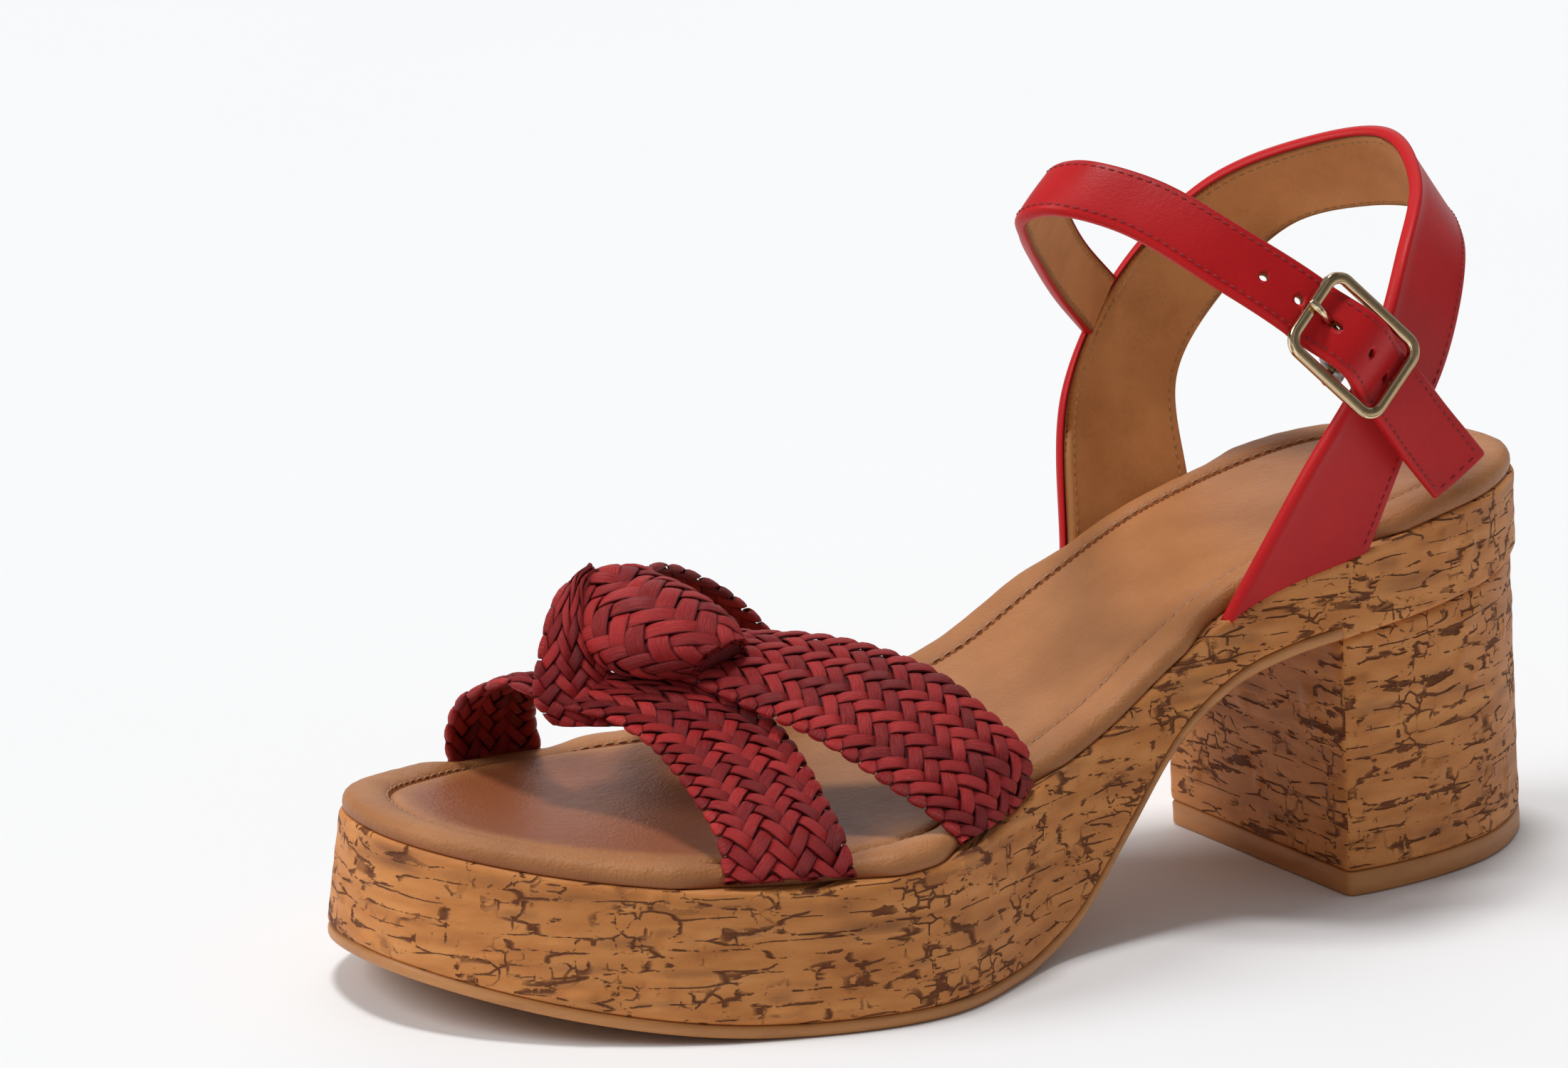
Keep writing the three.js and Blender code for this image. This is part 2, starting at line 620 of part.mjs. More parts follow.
// The elastic gore goes round the centre bar in two loops, with the prong's eye between them, and
// ends at the sling's lateral front edge.
const slingSeam = edgesSurface(slingFrontEdge, slingRearEdge)(0.253, 0);
const barCentre = vec(inBuckle(0, 0, -centreBarDrop));
const goreAlong = slingSeam.clone().sub(barCentre);
goreAlong.addScaledVector(acrossBuckle, -goreAlong.dot(acrossBuckle));
const goreLength = goreAlong.length() - seamGap;
goreAlong.normalize();
const goreOut = acrossBuckle.clone().cross(goreAlong).normalize();
if (goreOut.dot(outBuckle) < 0) goreOut.negate();
const gorePoint = (along, out, across) => barCentre.clone()
  .addScaledVector(goreAlong, along)
  .addScaledVector(goreOut, out)
  .addScaledVector(acrossBuckle, across).toArray();

function gorePiece(path, from, to) {
  return loft(path.map(([inner, outerPoint]) => [
    gorePoint(...inner, from), gorePoint(...outerPoint, from),
    gorePoint(...outerPoint, to), gorePoint(...inner, to),
  ]));
}
const [loopIn, loopOut] = [loopRadius - goreThickness / 2, loopRadius + goreThickness / 2];
const loopPath = even(12, -90, -380).map((degrees) => {
  const a = degrees * Math.PI / 180;
  return [[loopIn * Math.cos(a), loopIn * Math.sin(a)], [loopOut * Math.cos(a), loopOut * Math.sin(a)]];
});
const flatPath = [-0.2, goreLength].map((along) => [[along, -loopIn], [along, -loopOut]]);
const eyeRoom = prongRadius + runGap;
add('elastic_gore', join([
  gorePiece(loopPath, -goreWidth / 2, -eyeRoom),
  gorePiece(loopPath, eyeRoom, goreWidth / 2),
  gorePiece(flatPath.map(([a, b], i) => (i ? [a, b] : [[a[0] + 3, a[1]], [b[0] + 3, b[1]]])),
    -goreWidth / 2, goreWidth / 2),
  gorePiece(flatPath, -goreWidth / 2, -eyeRoom),
  gorePiece(flatPath, eyeRoom, goreWidth / 2),
]), 0x9a9794, 0.9);

// ---------------------------------------------------------------- buckle
const halfAcross = strapWidth / 2 + buckleSide;
function circleAround(centrePoint, side, up, radius, sides) {
  return Array.from({ length: sides }, (_, j) => {
    const a = j * 2 * Math.PI / sides;
    return vec(centrePoint).addScaledVector(side, radius * Math.cos(a))
      .addScaledVector(up, radius * Math.sin(a)).toArray();
  });
}
const frameSections = [];
for (const [sx, sy, start] of [[1, 1, 0], [-1, 1, 90], [-1, -1, 180], [1, -1, 270]]) {
  for (const degrees of even(5, start, start + 90)) {
    const a = degrees * Math.PI / 180;
    const x = sx * (buckleReach - buckleCorner) + buckleCorner * Math.cos(a);
    const y = sy * (halfAcross - buckleCorner) + buckleCorner * Math.sin(a);
    const side = alongBuckle.clone().multiplyScalar(Math.cos(a)).addScaledVector(acrossBuckle, Math.sin(a));
    frameSections.push(circleAround(inBuckle(x, y, 0), side, outBuckle, barRadius, 10));
  }
}
add('buckle_frame', join([
  loft(frameSections, true),
  pin(inBuckle(0, -halfAcross, -centreBarDrop), inBuckle(0, halfAcross, -centreBarDrop), centreBarRadius),
  ...[-halfAcross, halfAcross].map((across) => (
    pin(inBuckle(0, across, -centreBarDrop - centreBarRadius), inBuckle(0, across, 0.2), barRadius * 0.92))),
]), 0xc8a878, 0.25, 1);

// The prong hooks round the centre bar and rests on the front bar.
const eyeRadius = centreBarRadius + 0.35 + prongRadius;
const prongPath = [];
for (const degrees of even(8, 60, -215)) {
  const a = degrees * Math.PI / 180;
  prongPath.push([eyeRadius * Math.cos(a), -centreBarDrop + eyeRadius * Math.sin(a)]);
}
const tipLift = barRadius + prongRadius + 0.12;
prongPath.push([-4.2, -1.5], [-8.2, 0.35], [-buckleReach, tipLift], [-buckleReach - 1.6, tipLift - 0.1]);
const prongSections = prongPath.map((at, k) => {
  const [a, b] = [prongPath[Math.max(0, k - 1)], prongPath[Math.min(prongPath.length - 1, k + 1)]];
  const length = Math.hypot(b[0] - a[0], b[1] - a[1]);
  const up = alongBuckle.clone().multiplyScalar(-(b[1] - a[1]) / length)
    .addScaledVector(outBuckle, (b[0] - a[0]) / length);
  return circleAround(inBuckle(at[0], 0, at[1]), acrossBuckle, up, prongRadius, 8);
});
add('buckle_prong', loft(prongSections), 0xc8a878, 0.25, 1);

// ---------------------------------------------------------------- origin under the middle
const box = new THREE.Box3().setFromObject(parts);
const shift = new THREE.Vector3(-(box.min.x + box.max.x) / 2, -(box.min.y + box.max.y) / 2, -box.min.z);
for (const mesh of parts.children) mesh.position.copy(shift);

export default parts;
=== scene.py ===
# Platform sandal with woven straps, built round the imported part. Lengths are in millimetres in the
# maker's frame (X to the outer side, Y from toe to heel, Z up) until meshPiece turns them to metres.
import math
import random
import bmesh
import bpy
import numpy as np
from mathutils import Matrix, Vector


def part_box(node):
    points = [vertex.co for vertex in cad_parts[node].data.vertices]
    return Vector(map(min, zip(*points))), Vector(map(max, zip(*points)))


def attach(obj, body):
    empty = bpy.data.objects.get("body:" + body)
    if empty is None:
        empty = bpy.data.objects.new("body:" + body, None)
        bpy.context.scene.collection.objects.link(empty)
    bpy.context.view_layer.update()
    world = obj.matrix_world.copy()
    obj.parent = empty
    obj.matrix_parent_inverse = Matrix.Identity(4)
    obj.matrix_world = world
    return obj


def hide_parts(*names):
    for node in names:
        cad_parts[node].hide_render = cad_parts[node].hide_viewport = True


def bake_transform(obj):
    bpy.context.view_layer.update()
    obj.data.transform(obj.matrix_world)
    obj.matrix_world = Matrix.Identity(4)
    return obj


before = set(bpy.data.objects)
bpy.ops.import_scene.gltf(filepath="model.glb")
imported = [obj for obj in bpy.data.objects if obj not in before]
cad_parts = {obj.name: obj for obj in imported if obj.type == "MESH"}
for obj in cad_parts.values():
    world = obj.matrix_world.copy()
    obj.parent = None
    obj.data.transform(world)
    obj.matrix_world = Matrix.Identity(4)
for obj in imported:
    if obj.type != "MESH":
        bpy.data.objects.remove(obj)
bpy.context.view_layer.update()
print("stage: frame loaded")

# The heel screw stands on the middle line, 30 mm in front of the back of the sole.
soleSizes = {"length": 258, "ballHalf": 59, "heelHalf": 31, "platform": 28, "heel": 73.7,
             "layer": 15.4, "spring": 10, "flare": 2.6, "heelFlare": 0.8, "outsole": 2.6,
             "breast": 60, "topPiece": 4.8}
screwLow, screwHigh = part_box("heel_screw")
screwY = soleSizes["length"] - soleSizes["breast"] / 2
origin = np.array([(screwLow.x + screwHigh.x) / 2,
                   (screwLow.y + screwHigh.y) / 2 - screwY / 1000, 0])


# camera, set before anything that depends on the view
cameraSet = {"azimuth": 57.92200, "elevation": 14.31574, "roll": -0.14042, "distance": 2085.18,
             "lens": 247.73, "across": 32.469, "up": -32.457, "aim": (0, 129, 41.28)}


def placeCamera():
    azimuth, elevation = math.radians(cameraSet["azimuth"]), math.radians(cameraSet["elevation"])
    roll = math.radians(cameraSet["roll"])
    back = Vector((math.sin(azimuth) * math.cos(elevation),
                   -math.cos(azimuth) * math.cos(elevation), math.sin(elevation)))
    side = Vector((math.cos(azimuth), math.sin(azimuth), 0))
    up = back.cross(side)
    right = side * math.cos(roll) + up * math.sin(roll)
    top = up * math.cos(roll) - side * math.sin(roll)
    eye = Vector(cameraSet["aim"]) + back * cameraSet["distance"]
    eye += right * -cameraSet["across"] + top * -cameraSet["up"]
    camera = bpy.data.objects.new("camera", bpy.data.cameras.new("camera"))
    bpy.context.scene.collection.objects.link(camera)
    camera.matrix_world = Matrix((
        (right.x, top.x, back.x, eye.x / 1000 + origin[0]),
        (right.y, top.y, back.y, eye.y / 1000 + origin[1]),
        (right.z, top.z, back.z, eye.z / 1000 + origin[2]),
        (0, 0, 0, 1)))
    camera.data.lens = cameraSet["lens"]
    camera.data.sensor_width = 36
    camera.data.clip_start = 0.1
    camera.data.clip_end = 20
    bpy.context.scene.camera = camera


placeCamera()


# Shader sums: a wrapped socket, and one way to make any other node.
class Value:
    def __init__(self, paint, socket):
        self.paint, self.socket = paint, socket

    def math(self, operation, *others):
        values = {i: v for i, v in enumerate(others)}
        return self.paint.node("ShaderNodeMath", {"operation": operation}, values)

    def __add__(self, other):
        return self.math("ADD", self, other)

    def __radd__(self, other):
        return self.math("ADD", other, self)

    def __sub__(self, other):
        return self.math("SUBTRACT", self, other)

    def __rsub__(self, other):
        return self.math("SUBTRACT", other, self)

    def __mul__(self, other):
        return self.math("MULTIPLY", self, other)


    def clamped(self):
        return self.paint.node("ShaderNodeClamp", {}, {"Value": self})

    def span(self, low, high, toLow=0.0, toHigh=1.0):
        return self.paint.node("ShaderNodeMapRange", {"interpolation_type": "SMOOTHSTEP"},
                               {"Value": self, "From Min": low, "From Max": high,
                                "To Min": toLow, "To Max": toHigh})


class Paint:
    def __init__(self, name):
        self.material = bpy.data.materials.new(name)
        self.material.use_nodes = True
        self.tree = self.material.node_tree
        self.tree.nodes.clear()
        self.shader = self.tree.nodes.new("ShaderNodeBsdfPrincipled")
        end = self.tree.nodes.new("ShaderNodeOutputMaterial")
        self.tree.links.new(self.shader.outputs[0], end.inputs[0])

    def node(self, kind, settings=None, values=None, out=0):
        made = self.tree.nodes.new(kind)
        for key, setting in (settings or {}).items():
            if key == "stops":
                ramp = made.color_ramp
                while len(ramp.elements) < len(setting):
                    ramp.elements.new(0.5)
                for element, (place, colour) in zip(ramp.elements, setting):
                    element.position = place
                    element.color = (*colour, 1)
            else:
                setattr(made, key, setting)
        for key, value in (values or {}).items():
            self.put(made.inputs[key], value)
        return Value(self, made.outputs[out])

    def put(self, socket, value):
        if isinstance(value, Value):
            self.tree.links.new(value.socket, socket)
        elif isinstance(value, tuple) and len(value) == 3 and socket.type == "RGBA":
            socket.default_value = (*value, 1)
        else:
            socket.default_value = value

    def place(self, scale=(1, 1, 1), uv=False):
        where = self.node("ShaderNodeTexCoord", {}, {}, 2 if uv else 3)
        return self.node("ShaderNodeMapping", {}, {"Vector": where, "Scale": scale})

    def noise(self, where, scale, detail=3.0, roughness=0.55, distortion=0.0):
        return self.node("ShaderNodeTexNoise", {}, {"Vector": where, "Scale": scale, "Detail": detail,
                                                    "Roughness": roughness, "Distortion": distortion})

    def cells(self, where, scale, feature="F1", out=0, randomness=1.0):
        return self.node("ShaderNodeTexVoronoi", {"feature": feature},
                         {"Vector": where, "Scale": scale, "Randomness": randomness}, out)

    def attribute(self, name):
        return self.node("ShaderNodeAttribute", {"attribute_name": name}, {}, 2)

    def ramp(self, value, stops):
        return self.node("ShaderNodeValToRGB", {"stops": stops}, {"Fac": value})

    def mix(self, share, first, second, blend="MIX"):
        return self.node("ShaderNodeMix", {"data_type": "RGBA", "blend_type": blend},
                         {0: share, 6: first, 7: second}, 2)

    def bump(self, height, strength, distance, under=None):
        values = {"Height": height, "Strength": strength, "Distance": distance}
        if under is not None:
            values["Normal"] = under
        return self.node("ShaderNodeBump", {}, values)

    def finish(self, colour, roughness, normal=None, **fixed):
        self.put(self.shader.inputs["Base Color"], colour)
        self.put(self.shader.inputs["Roughness"], roughness)
        if normal is not None:
            self.put(self.shader.inputs["Normal"], normal)
        for key, value in fixed.items():
            self.put(self.shader.inputs[key.replace("_", " ")], value)
        return self.material


def corkPaint():
    paint = Paint("cork")
    sheet = paint.place(uv=True)
    tone, stain, raised = paint.attribute("tone"), paint.attribute("stain"), paint.attribute("raised")
    wander = paint.node("ShaderNodeTexNoise", {}, {"Vector": sheet, "Scale": 260.0, "Detail": 3.0}, 1)

    # the gap between the nearest and second cell, drawn out along the wall and broken up by noise
    def network(across, up, bend, cut, fine):
        at = paint.node("ShaderNodeVectorMath", {"operation": "MULTIPLY_ADD"},
                        {0: wander, 1: (bend, bend * 1.3, 0), 2: paint.place((across, up, 1), uv=True)})
        nearest, second = [
            paint.node("ShaderNodeTexVoronoi", {"feature": which, "distance": "MINKOWSKI"},
                       {"Vector": at, "Scale": 1.0, "Exponent": 7.0}) for which in ("F1", "F2")]
        broken = paint.noise(paint.place((0.6, 1.6, 1), uv=True), cut, 4, 0.7)
        return 1 - (second - nearest + broken.span(0.46, 0.64) * 0.3).span(0.01, fine)

    long = network(52, 290, 0.13, 240, 0.075)
    short = network(270, 320, 0.3, 130, 0.13) * paint.noise(sheet, 85, 2).span(0.48, 0.60)
    crack = (long + short).clamped()
    grain = paint.noise(paint.place((0.35, 1, 1), uv=True), 900, 4, 0.65)
    streak = paint.noise(paint.place((0.18, 1, 1), uv=True), 210, 4, 0.6, 0.5)
    base = paint.ramp(tone * 0.45 + grain * 0.2 + streak * 0.35,
                      [(0.25, (0.40, 0.138, 0.034)), (0.45, (0.55, 0.205, 0.054)),
                       (0.62, (0.64, 0.258, 0.075)), (0.82, (0.71, 0.318, 0.104))])
    stained = paint.mix((stain * 0.5 + streak.span(0.55, 0.75) * 0.35).clamped(), base,
                        (0.185, 0.068, 0.026))
    pitted = paint.mix(paint.noise(sheet, 1500, 2).span(0.66, 0.74) * 0.5, stained, (0.14, 0.05, 0.022))
    colour = paint.mix(crack * (0.65 + grain * 0.5), pitted, (0.105, 0.025, 0.008))
    relief = paint.bump(raised * 0.8 + streak * 0.25 - crack * 1.0, 0.9, 0.0006)
    return paint.finish(colour, 0.46 + grain * 0.2 + crack * 0.2, paint.bump(grain, 0.35, 0.0003, relief),
                        Specular_IOR_Level=0.25)


def solePaint():
    paint = Paint("sole edge")
    where = paint.place((0.15, 0.15, 1.4))
    streak = paint.noise(where, 260, 4, 0.6, 0.4)
    patch = paint.noise(paint.place(), 45, 3)
    colour = paint.ramp(streak * 0.6 + patch * 0.4,
                        [(0.3, (0.34, 0.128, 0.036)), (0.52, (0.50, 0.208, 0.060)),
                         (0.75, (0.60, 0.262, 0.083))])
    relief = paint.bump(streak, 0.25, 0.0003)
    return paint.finish(colour, 0.38 + patch * 0.2, relief)


def footbedPaint():
    paint = Paint("footbed leather")
    where = paint.place()
    pebbles = paint.cells(where, 1500)
    crease = paint.noise(paint.place((1.0, 0.45, 1.0)), 520, 4, 0.6, 0.8)
    cloud = paint.noise(where, 38, 4, 0.55)
    fleck = paint.noise(where, 1100, 2)
    # shade mixes in a dark brown: burnish where the foot wears the leather, and painted shade along the
    # rim's low edge, into the seam groove and at the sock's edge
    shade = paint.attribute("shade")
    base = paint.ramp(cloud, [(0.3, (0.33, 0.130, 0.045)), (0.55, (0.41, 0.170, 0.062)),
                              (0.75, (0.48, 0.212, 0.082))])
    speckled = paint.mix(fleck.span(0.55, 0.8) * 0.2, base, (0.28, 0.12, 0.055))
    colour = paint.mix((shade * (0.7 + cloud * 0.6)).clamped(), speckled, (0.25, 0.068, 0.027))
    relief = paint.bump(crease, 0.45, 0.0006)
    fine = paint.bump(pebbles, 0.3, 0.0003, relief)
    return paint.finish(colour, 0.40 + crease * 0.2 - shade * 0.1, fine, Specular_IOR_Level=0.22)


def redPaint():
    paint = Paint("red leather")
    where = paint.place()
    pores = paint.cells(where, 1900)
    cloud = paint.noise(where, 40, 3, 0.5)
    edge = paint.attribute("edge")
    base = paint.ramp(cloud, [(0.3, (0.38, 0.006, 0.008)), (0.7, (0.49, 0.010, 0.012))])
    # a painted highlight: the red is lightened along one edge of each strap, the sling's rolled front edge
    # and the ankle strap's lower edge
    colour = paint.mix(edge.span(0.55, 1.0) * 0.55, base, (0.58, 0.012, 0.014))
    relief = paint.bump(paint.noise(where, 800, 3), 0.12, 0.0003)
    return paint.finish(colour, 0.34 + cloud * 0.12, paint.bump(pores, 0.10, 0.0002, relief),
                        Specular_IOR_Level=0.17)


def liningPaint():
    paint = Paint("tan lining")
    where = paint.place()
    nap = paint.noise(where, 1300, 3, 0.6)
    cloud = paint.noise(where, 55, 4, 0.6)
    colour = paint.ramp(cloud * 0.8 + nap * 0.2,
                        [(0.3, (0.45, 0.182, 0.056)), (0.5, (0.58, 0.250, 0.083)),
                         (0.72, (0.67, 0.312, 0.113))])
    return paint.finish(colour, 0.6 + nap * 0.2, paint.bump(nap, 0.15, 0.0002),
                        Specular_IOR_Level=0.3)


def wovenPaint():
    paint = Paint("woven leather strips")
    where = paint.place()
    tone = paint.attribute("stripTone")
    edge = paint.attribute("stripEdge")
    lengthways = paint.node("ShaderNodeMapping", {},
                            {"Vector": paint.node("ShaderNodeTexCoord", {}, {}, 2), "Scale": (1, 9, 1)})
    streak = paint.noise(lengthways, 330, 5, 0.7, 0.3)
    patch = paint.noise(where, 260, 3, 0.6)
    wear = paint.noise(where, 90, 3, 0.6)
    base = paint.ramp(tone * 0.5 + streak * 0.3 + patch * 0.25,
                      [(0.22, (0.17, 0.005, 0.007)), (0.5, (0.34, 0.010, 0.012)),
                       (0.78, (0.50, 0.024, 0.024))])
    # pale streaks in patches: partly wear, partly painted glints of the glossy leather
    rubbedAndGlint = paint.mix((streak.span(0.5, 0.78) * wear.span(0.4, 0.7)).clamped() * 0.6, base,
                       (0.70, 0.15, 0.12))
    # painted shade: the strip edges darken almost to black, for the gaps between the strips
    colour = paint.mix(edge.span(0.78, 1.0) * 0.7, rubbedAndGlint, (0.085, 0.003, 0.004))
    relief = paint.bump(streak + patch * 0.6, 0.9, 0.0006)
    return paint.finish(colour, 0.26 + streak * 0.3 + wear * 0.1, relief, Specular_IOR_Level=0.32)


def threadPaint(name, dark, pale):
    paint = Paint(name)
    twist = paint.noise(paint.place(), 2600, 2)
    return paint.finish(paint.ramp(twist, [(0.35, dark), (0.65, pale)]), 0.65,
                        paint.bump(twist, 0.3, 0.0001))


def elasticPaint():
    paint = Paint("elastic")
    ribs = paint.node("ShaderNodeTexWave", {"bands_direction": "X"},
                      {"Vector": paint.place((1, 1, 1), uv=True), "Scale": 420.0, "Distortion": 0.6})
    weave = paint.noise(paint.place(), 1800, 2)
    stripe = paint.attribute("stripe")
    base = paint.mix(ribs, (0.34, 0.34, 0.35), (0.55, 0.55, 0.55))
    colour = paint.mix(stripe, base, (0.12, 0.12, 0.14))
    return paint.finish(colour, 0.85, paint.bump(ribs + weave * 0.5, 0.5, 0.0003), Sheen_Weight=0.3)


def goldPaint():
    paint = Paint("pale gold plate")
    where = paint.place()
    scuff = paint.noise(where, 900, 4, 0.6)
    # a painted reflection: the base colour runs from dark to bright with the direction of the reflected
    # view
    paintedReflection = paint.noise(paint.node("ShaderNodeTexCoord", {}, {}, 6), 1.7, 1)
    colour = paint.ramp(paintedReflection + scuff * 0.05, [(0.34, (0.10, 0.060, 0.030)), (0.45, (0.50, 0.36, 0.20)),
                                              (0.56, (0.93, 0.76, 0.52)), (0.68, (0.62, 0.47, 0.29))])
    return paint.finish(colour, 0.09 + scuff * 0.08, paint.bump(scuff, 0.04, 0.0001), Metallic=1.0)


def steelPaint():
    paint = Paint("plain steel")
    grain = paint.noise(paint.place(), 400, 3)
    colour = paint.ramp(grain, [(0.3, (0.35, 0.35, 0.36)), (0.7, (0.5, 0.5, 0.51))])
    return paint.finish(colour, 0.35 + grain * 0.1, paint.bump(grain, 0.15, 0.0002), Metallic=1.0)


paints = {
    "cork": corkPaint(), "sole": solePaint(), "footbed": footbedPaint(), "red": redPaint(),
    "lining": liningPaint(), "woven": wovenPaint(), "elastic": elasticPaint(), "gold": goldPaint(),
    "redThread": threadPaint("red thread", (0.17, 0.004, 0.005), (0.33, 0.010, 0.012)),
    "tanThread": threadPaint("tan thread", (0.34, 0.17, 0.06), (0.50, 0.27, 0.11)),
    "bedThread": threadPaint("footbed thread", (0.30, 0.15, 0.07), (0.48, 0.27, 0.14)),
    "steel": steelPaint(),
}
print("stage: finishes made")


# girth is how far u runs round a closed wall; the faces that close the wall carry on past it
def meshPiece(name, points, faces, paint, attributes=None, uvs=None, girth=0.0):
    mesh = bpy.data.meshes.new(name)
    placed = np.asarray(points, float) / 1000 + origin
    mesh.from_pydata(placed.tolist(), [], [list(map(int, f)) for f in faces])
    for key, values in (attributes or {}).items():
        layer = mesh.attributes.new(key, "FLOAT", "POINT")
        layer.data.foreach_set("value", np.asarray(values, np.float32).ravel())
    if uvs is not None:
        layer = mesh.uv_layers.new(name="UVMap")
        corners = np.zeros(len(mesh.loops), np.int32)
        mesh.loops.foreach_get("vertex_index", corners)
        unrolled = np.asarray(uvs, float)[corners]
        if girth:
            for face in mesh.polygons:
                loops = list(face.loop_indices)
                behind = unrolled[loops, 0] < unrolled[loops, 0].max() - girth / 2
                unrolled[loops, 0] += girth * behind * (len(loops) == 4)
        layer.data.foreach_set("uv", (unrolled / 1000).astype(np.float32).ravel())
    mesh.polygons.foreach_set("use_smooth", [True] * len(mesh.polygons))
    mesh.materials.append(paints[paint])
    mesh.validate()
    shell = bmesh.new()
    shell.from_mesh(mesh)
    bmesh.ops.recalc_face_normals(shell, faces=shell.faces)
    shell.to_mesh(mesh)
    shell.free()
    piece = bpy.data.objects.new(name, mesh)
    bpy.context.scene.collection.objects.link(piece)
    return piece


def gridFaces(rows, columns, closeRows=False, closeColumns=False):
    lastRow = rows if closeRows else rows - 1
    lastColumn = columns if closeColumns else columns - 1
    i, j = np.meshgrid(np.arange(lastRow), np.arange(lastColumn), indexing="ij")
    a, b = i * columns + j, i * columns + (j + 1) % columns
    c, d = ((i + 1) % rows) * columns + (j + 1) % columns, ((i + 1) % rows) * columns + j
    return np.stack([a, b, c, d], -1).reshape(-1, 4).tolist()


def tubeFaces(rows, columns):
    caps = [list(range(columns))[::-1], list(range((rows - 1) * columns, rows * columns))]
    return gridFaces(rows, columns, closeColumns=True) + caps


def clamp01(x):
    return np.clip(x, 0, 1)


def smooth(x):
    return x * x * (3 - 2 * x)


# distance along a line of points, from 0 at the first
def runAlong(line):
    return np.concatenate([[0], np.cumsum(np.linalg.norm(np.diff(line, axis=0), axis=1))])


# a smooth curve through evenly spaced values, read at k from 0 to 1
def through(values, k):
    values = np.asarray(values, float)
    last = len(values) - 1
    k = np.asarray(k, float)
    at = np.clip(np.floor(k * last), 0, last - 1).astype(int)
    f = k * last - at
    p0, p1 = values[np.maximum(at - 1, 0)], values[at]
    p2, p3 = values[at + 1], values[np.minimum(at + 2, last)]
    m1 = np.where(at == 0, p2 - p1, (p2 - p0) / 2)
    m2 = np.where(at + 1 == last, p2 - p1, (p3 - p1) / 2)
    return p1 + f * m1 + f * f * (3 * (p2 - p1) - 2 * m1 - m2) + f ** 3 * (2 * (p1 - p2) + m1 + m2)


# Shape of the sole: half widths at eleven stations from toe to heel on the outer (1) and inner (-1)
# side, as shares of the ball's half width up to the fifth station and of the heel's after it.
ball, heelHalf, length = soleSizes["ballHalf"], soleSizes["heelHalf"], soleSizes["length"]
shares = {1: (0, 0.3441, 0.6712, 0.922, 1, 1.252, 1.006, 1.065, 0.871, 0.4387, 0),
          -1: (0, 0.4068, 0.6678, 0.8373, 0.7627, 1.006, 0.9226, 1, 0.9806, 0.6226, 0)}
widths = {side: [v * (ball if k < 5 else heelHalf) for k, v in enumerate(row)]
          for side, row in shares.items()}
topRamp = (0, 0.012, 0.06, 0.15, 0.29, 0.53, 0.74, 0.86, 0.945, 0.985, 1)
archRamp = (0, 0.012, 0.1, 0.34, 0.61, 0.765, 0.845, 0.89)
profileSet = {"toe": 0.25, "topLift": 0.65, "archStart": 0.4, "archEnd": 0.78}
blockTopBack = soleSizes["heel"] - soleSizes["layer"]
heelFront = length - soleSizes["breast"]


def stationY(u):
    return length * (1 - np.cos(np.pi * u)) / 2


def stationU(y):
    return np.arccos(1 - 2 * clamp01(y / length)) / np.pi


def halfWidth(side, y):
    u = stationU(np.asarray(y, float))
    return np.where(np.asarray(side) > 0, through(widths[1], u), through(widths[-1], u))


def toeLift(y):
    t = clamp01(1 - y / length / profileSet["toe"])
    return soleSizes["spring"] * t * t


def topEdge(y):
    y = np.asarray(y, float)
    t = (y / length - profileSet["toe"]) / (1 - profileSet["toe"])
    rise = (soleSizes["heel"] - soleSizes["platform"]) * through(topRamp, clamp01(t))
    return soleSizes["platform"] + np.where(t < 0, profileSet["topLift"] * toeLift(y), rise)


def underside(y):
    y = np.asarray(y, float)
    t = y / length
    start, end = profileSet["archStart"], profileSet["archEnd"]
    arch = blockTopBack * through(archRamp, clamp01((t - start) / (end - start)))
    seat = blockTopBack * (archRamp[-1] + (1 - archRamp[-1]) * clamp01((t - end) / (1 - end)))
    return np.where(t < start, toeLift(y), np.where(t < end, arch, seat))


# The outline starts at the toe, goes down the outer side and comes back up the inner side.
def outline(count, start=0.0, end=None):
    closed = end is None
    low, high = (1e-4, 1 - 1e-4) if closed else (float(stationU(start)), float(stationU(end)))
    u = low + (high - low) * (0.5 - 0.5 * np.cos(np.pi * (np.arange(3000) + 0.5) / 3000))
    y = stationY(u)
    sides = [np.stack([side * halfWidth(side, y), y], -1) for side in (1, -1)]
    path = np.concatenate([sides[0], sides[1][::-1]])
    sign = np.concatenate([np.ones(len(u)), -np.ones(len(u))])
    ring = np.concatenate([path, path[:1]]) if closed else path
    run = runAlong(ring)
    marks = np.linspace(0, run[-1], count, endpoint=not closed)
    xy = np.stack([np.interp(marks, run, ring[:, k]) for k in (0, 1)], -1)
    signs = np.interp(marks, run, np.concatenate([sign, sign[:1]]) if closed else sign)
    return xy, np.sign(signs + 1e-9), marks


def outwardNormals(xy):
    step = np.roll(xy, -1, 0) - np.roll(xy, 1, 0)
    step /= np.linalg.norm(step, axis=1, keepdims=True)
    return np.stack([step[:, 1], -step[:, 0]], -1)


# Cork: soft lumps and stains drawn on a sheet that is then wrapped round the wall. The tone is a
# sum of (share, cell across, cell up) noises, and blocks and stains are counts per square mm.
corkSet = {"cell": 0.5, "blocks": 0.006, "stains": 0.006, "tone": ((0.6, 26, 5), (0.4, 9, 3)),
           "layers": (60, 4), "lump": 0.3, "ridge": 0.25}


def softNoise(rng, shape, cellX, cellY):
    coarse = rng.random((int(shape[0] / cellY) + 3, int(shape[1] / cellX) + 3))
    yy, xx = np.arange(shape[0]) / cellY, np.arange(shape[1]) / cellX
    iy, ix = yy.astype(int), xx.astype(int)
    fy, fx = smooth(yy - iy)[:, None], smooth(xx - ix)[None, :]
    a, b = coarse[iy][:, ix], coarse[iy][:, ix + 1]
    c, d = coarse[iy + 1][:, ix], coarse[iy + 1][:, ix + 1]
    return (a * (1 - fx) + b * fx) * (1 - fy) + (c * (1 - fx) + d * fx) * fy


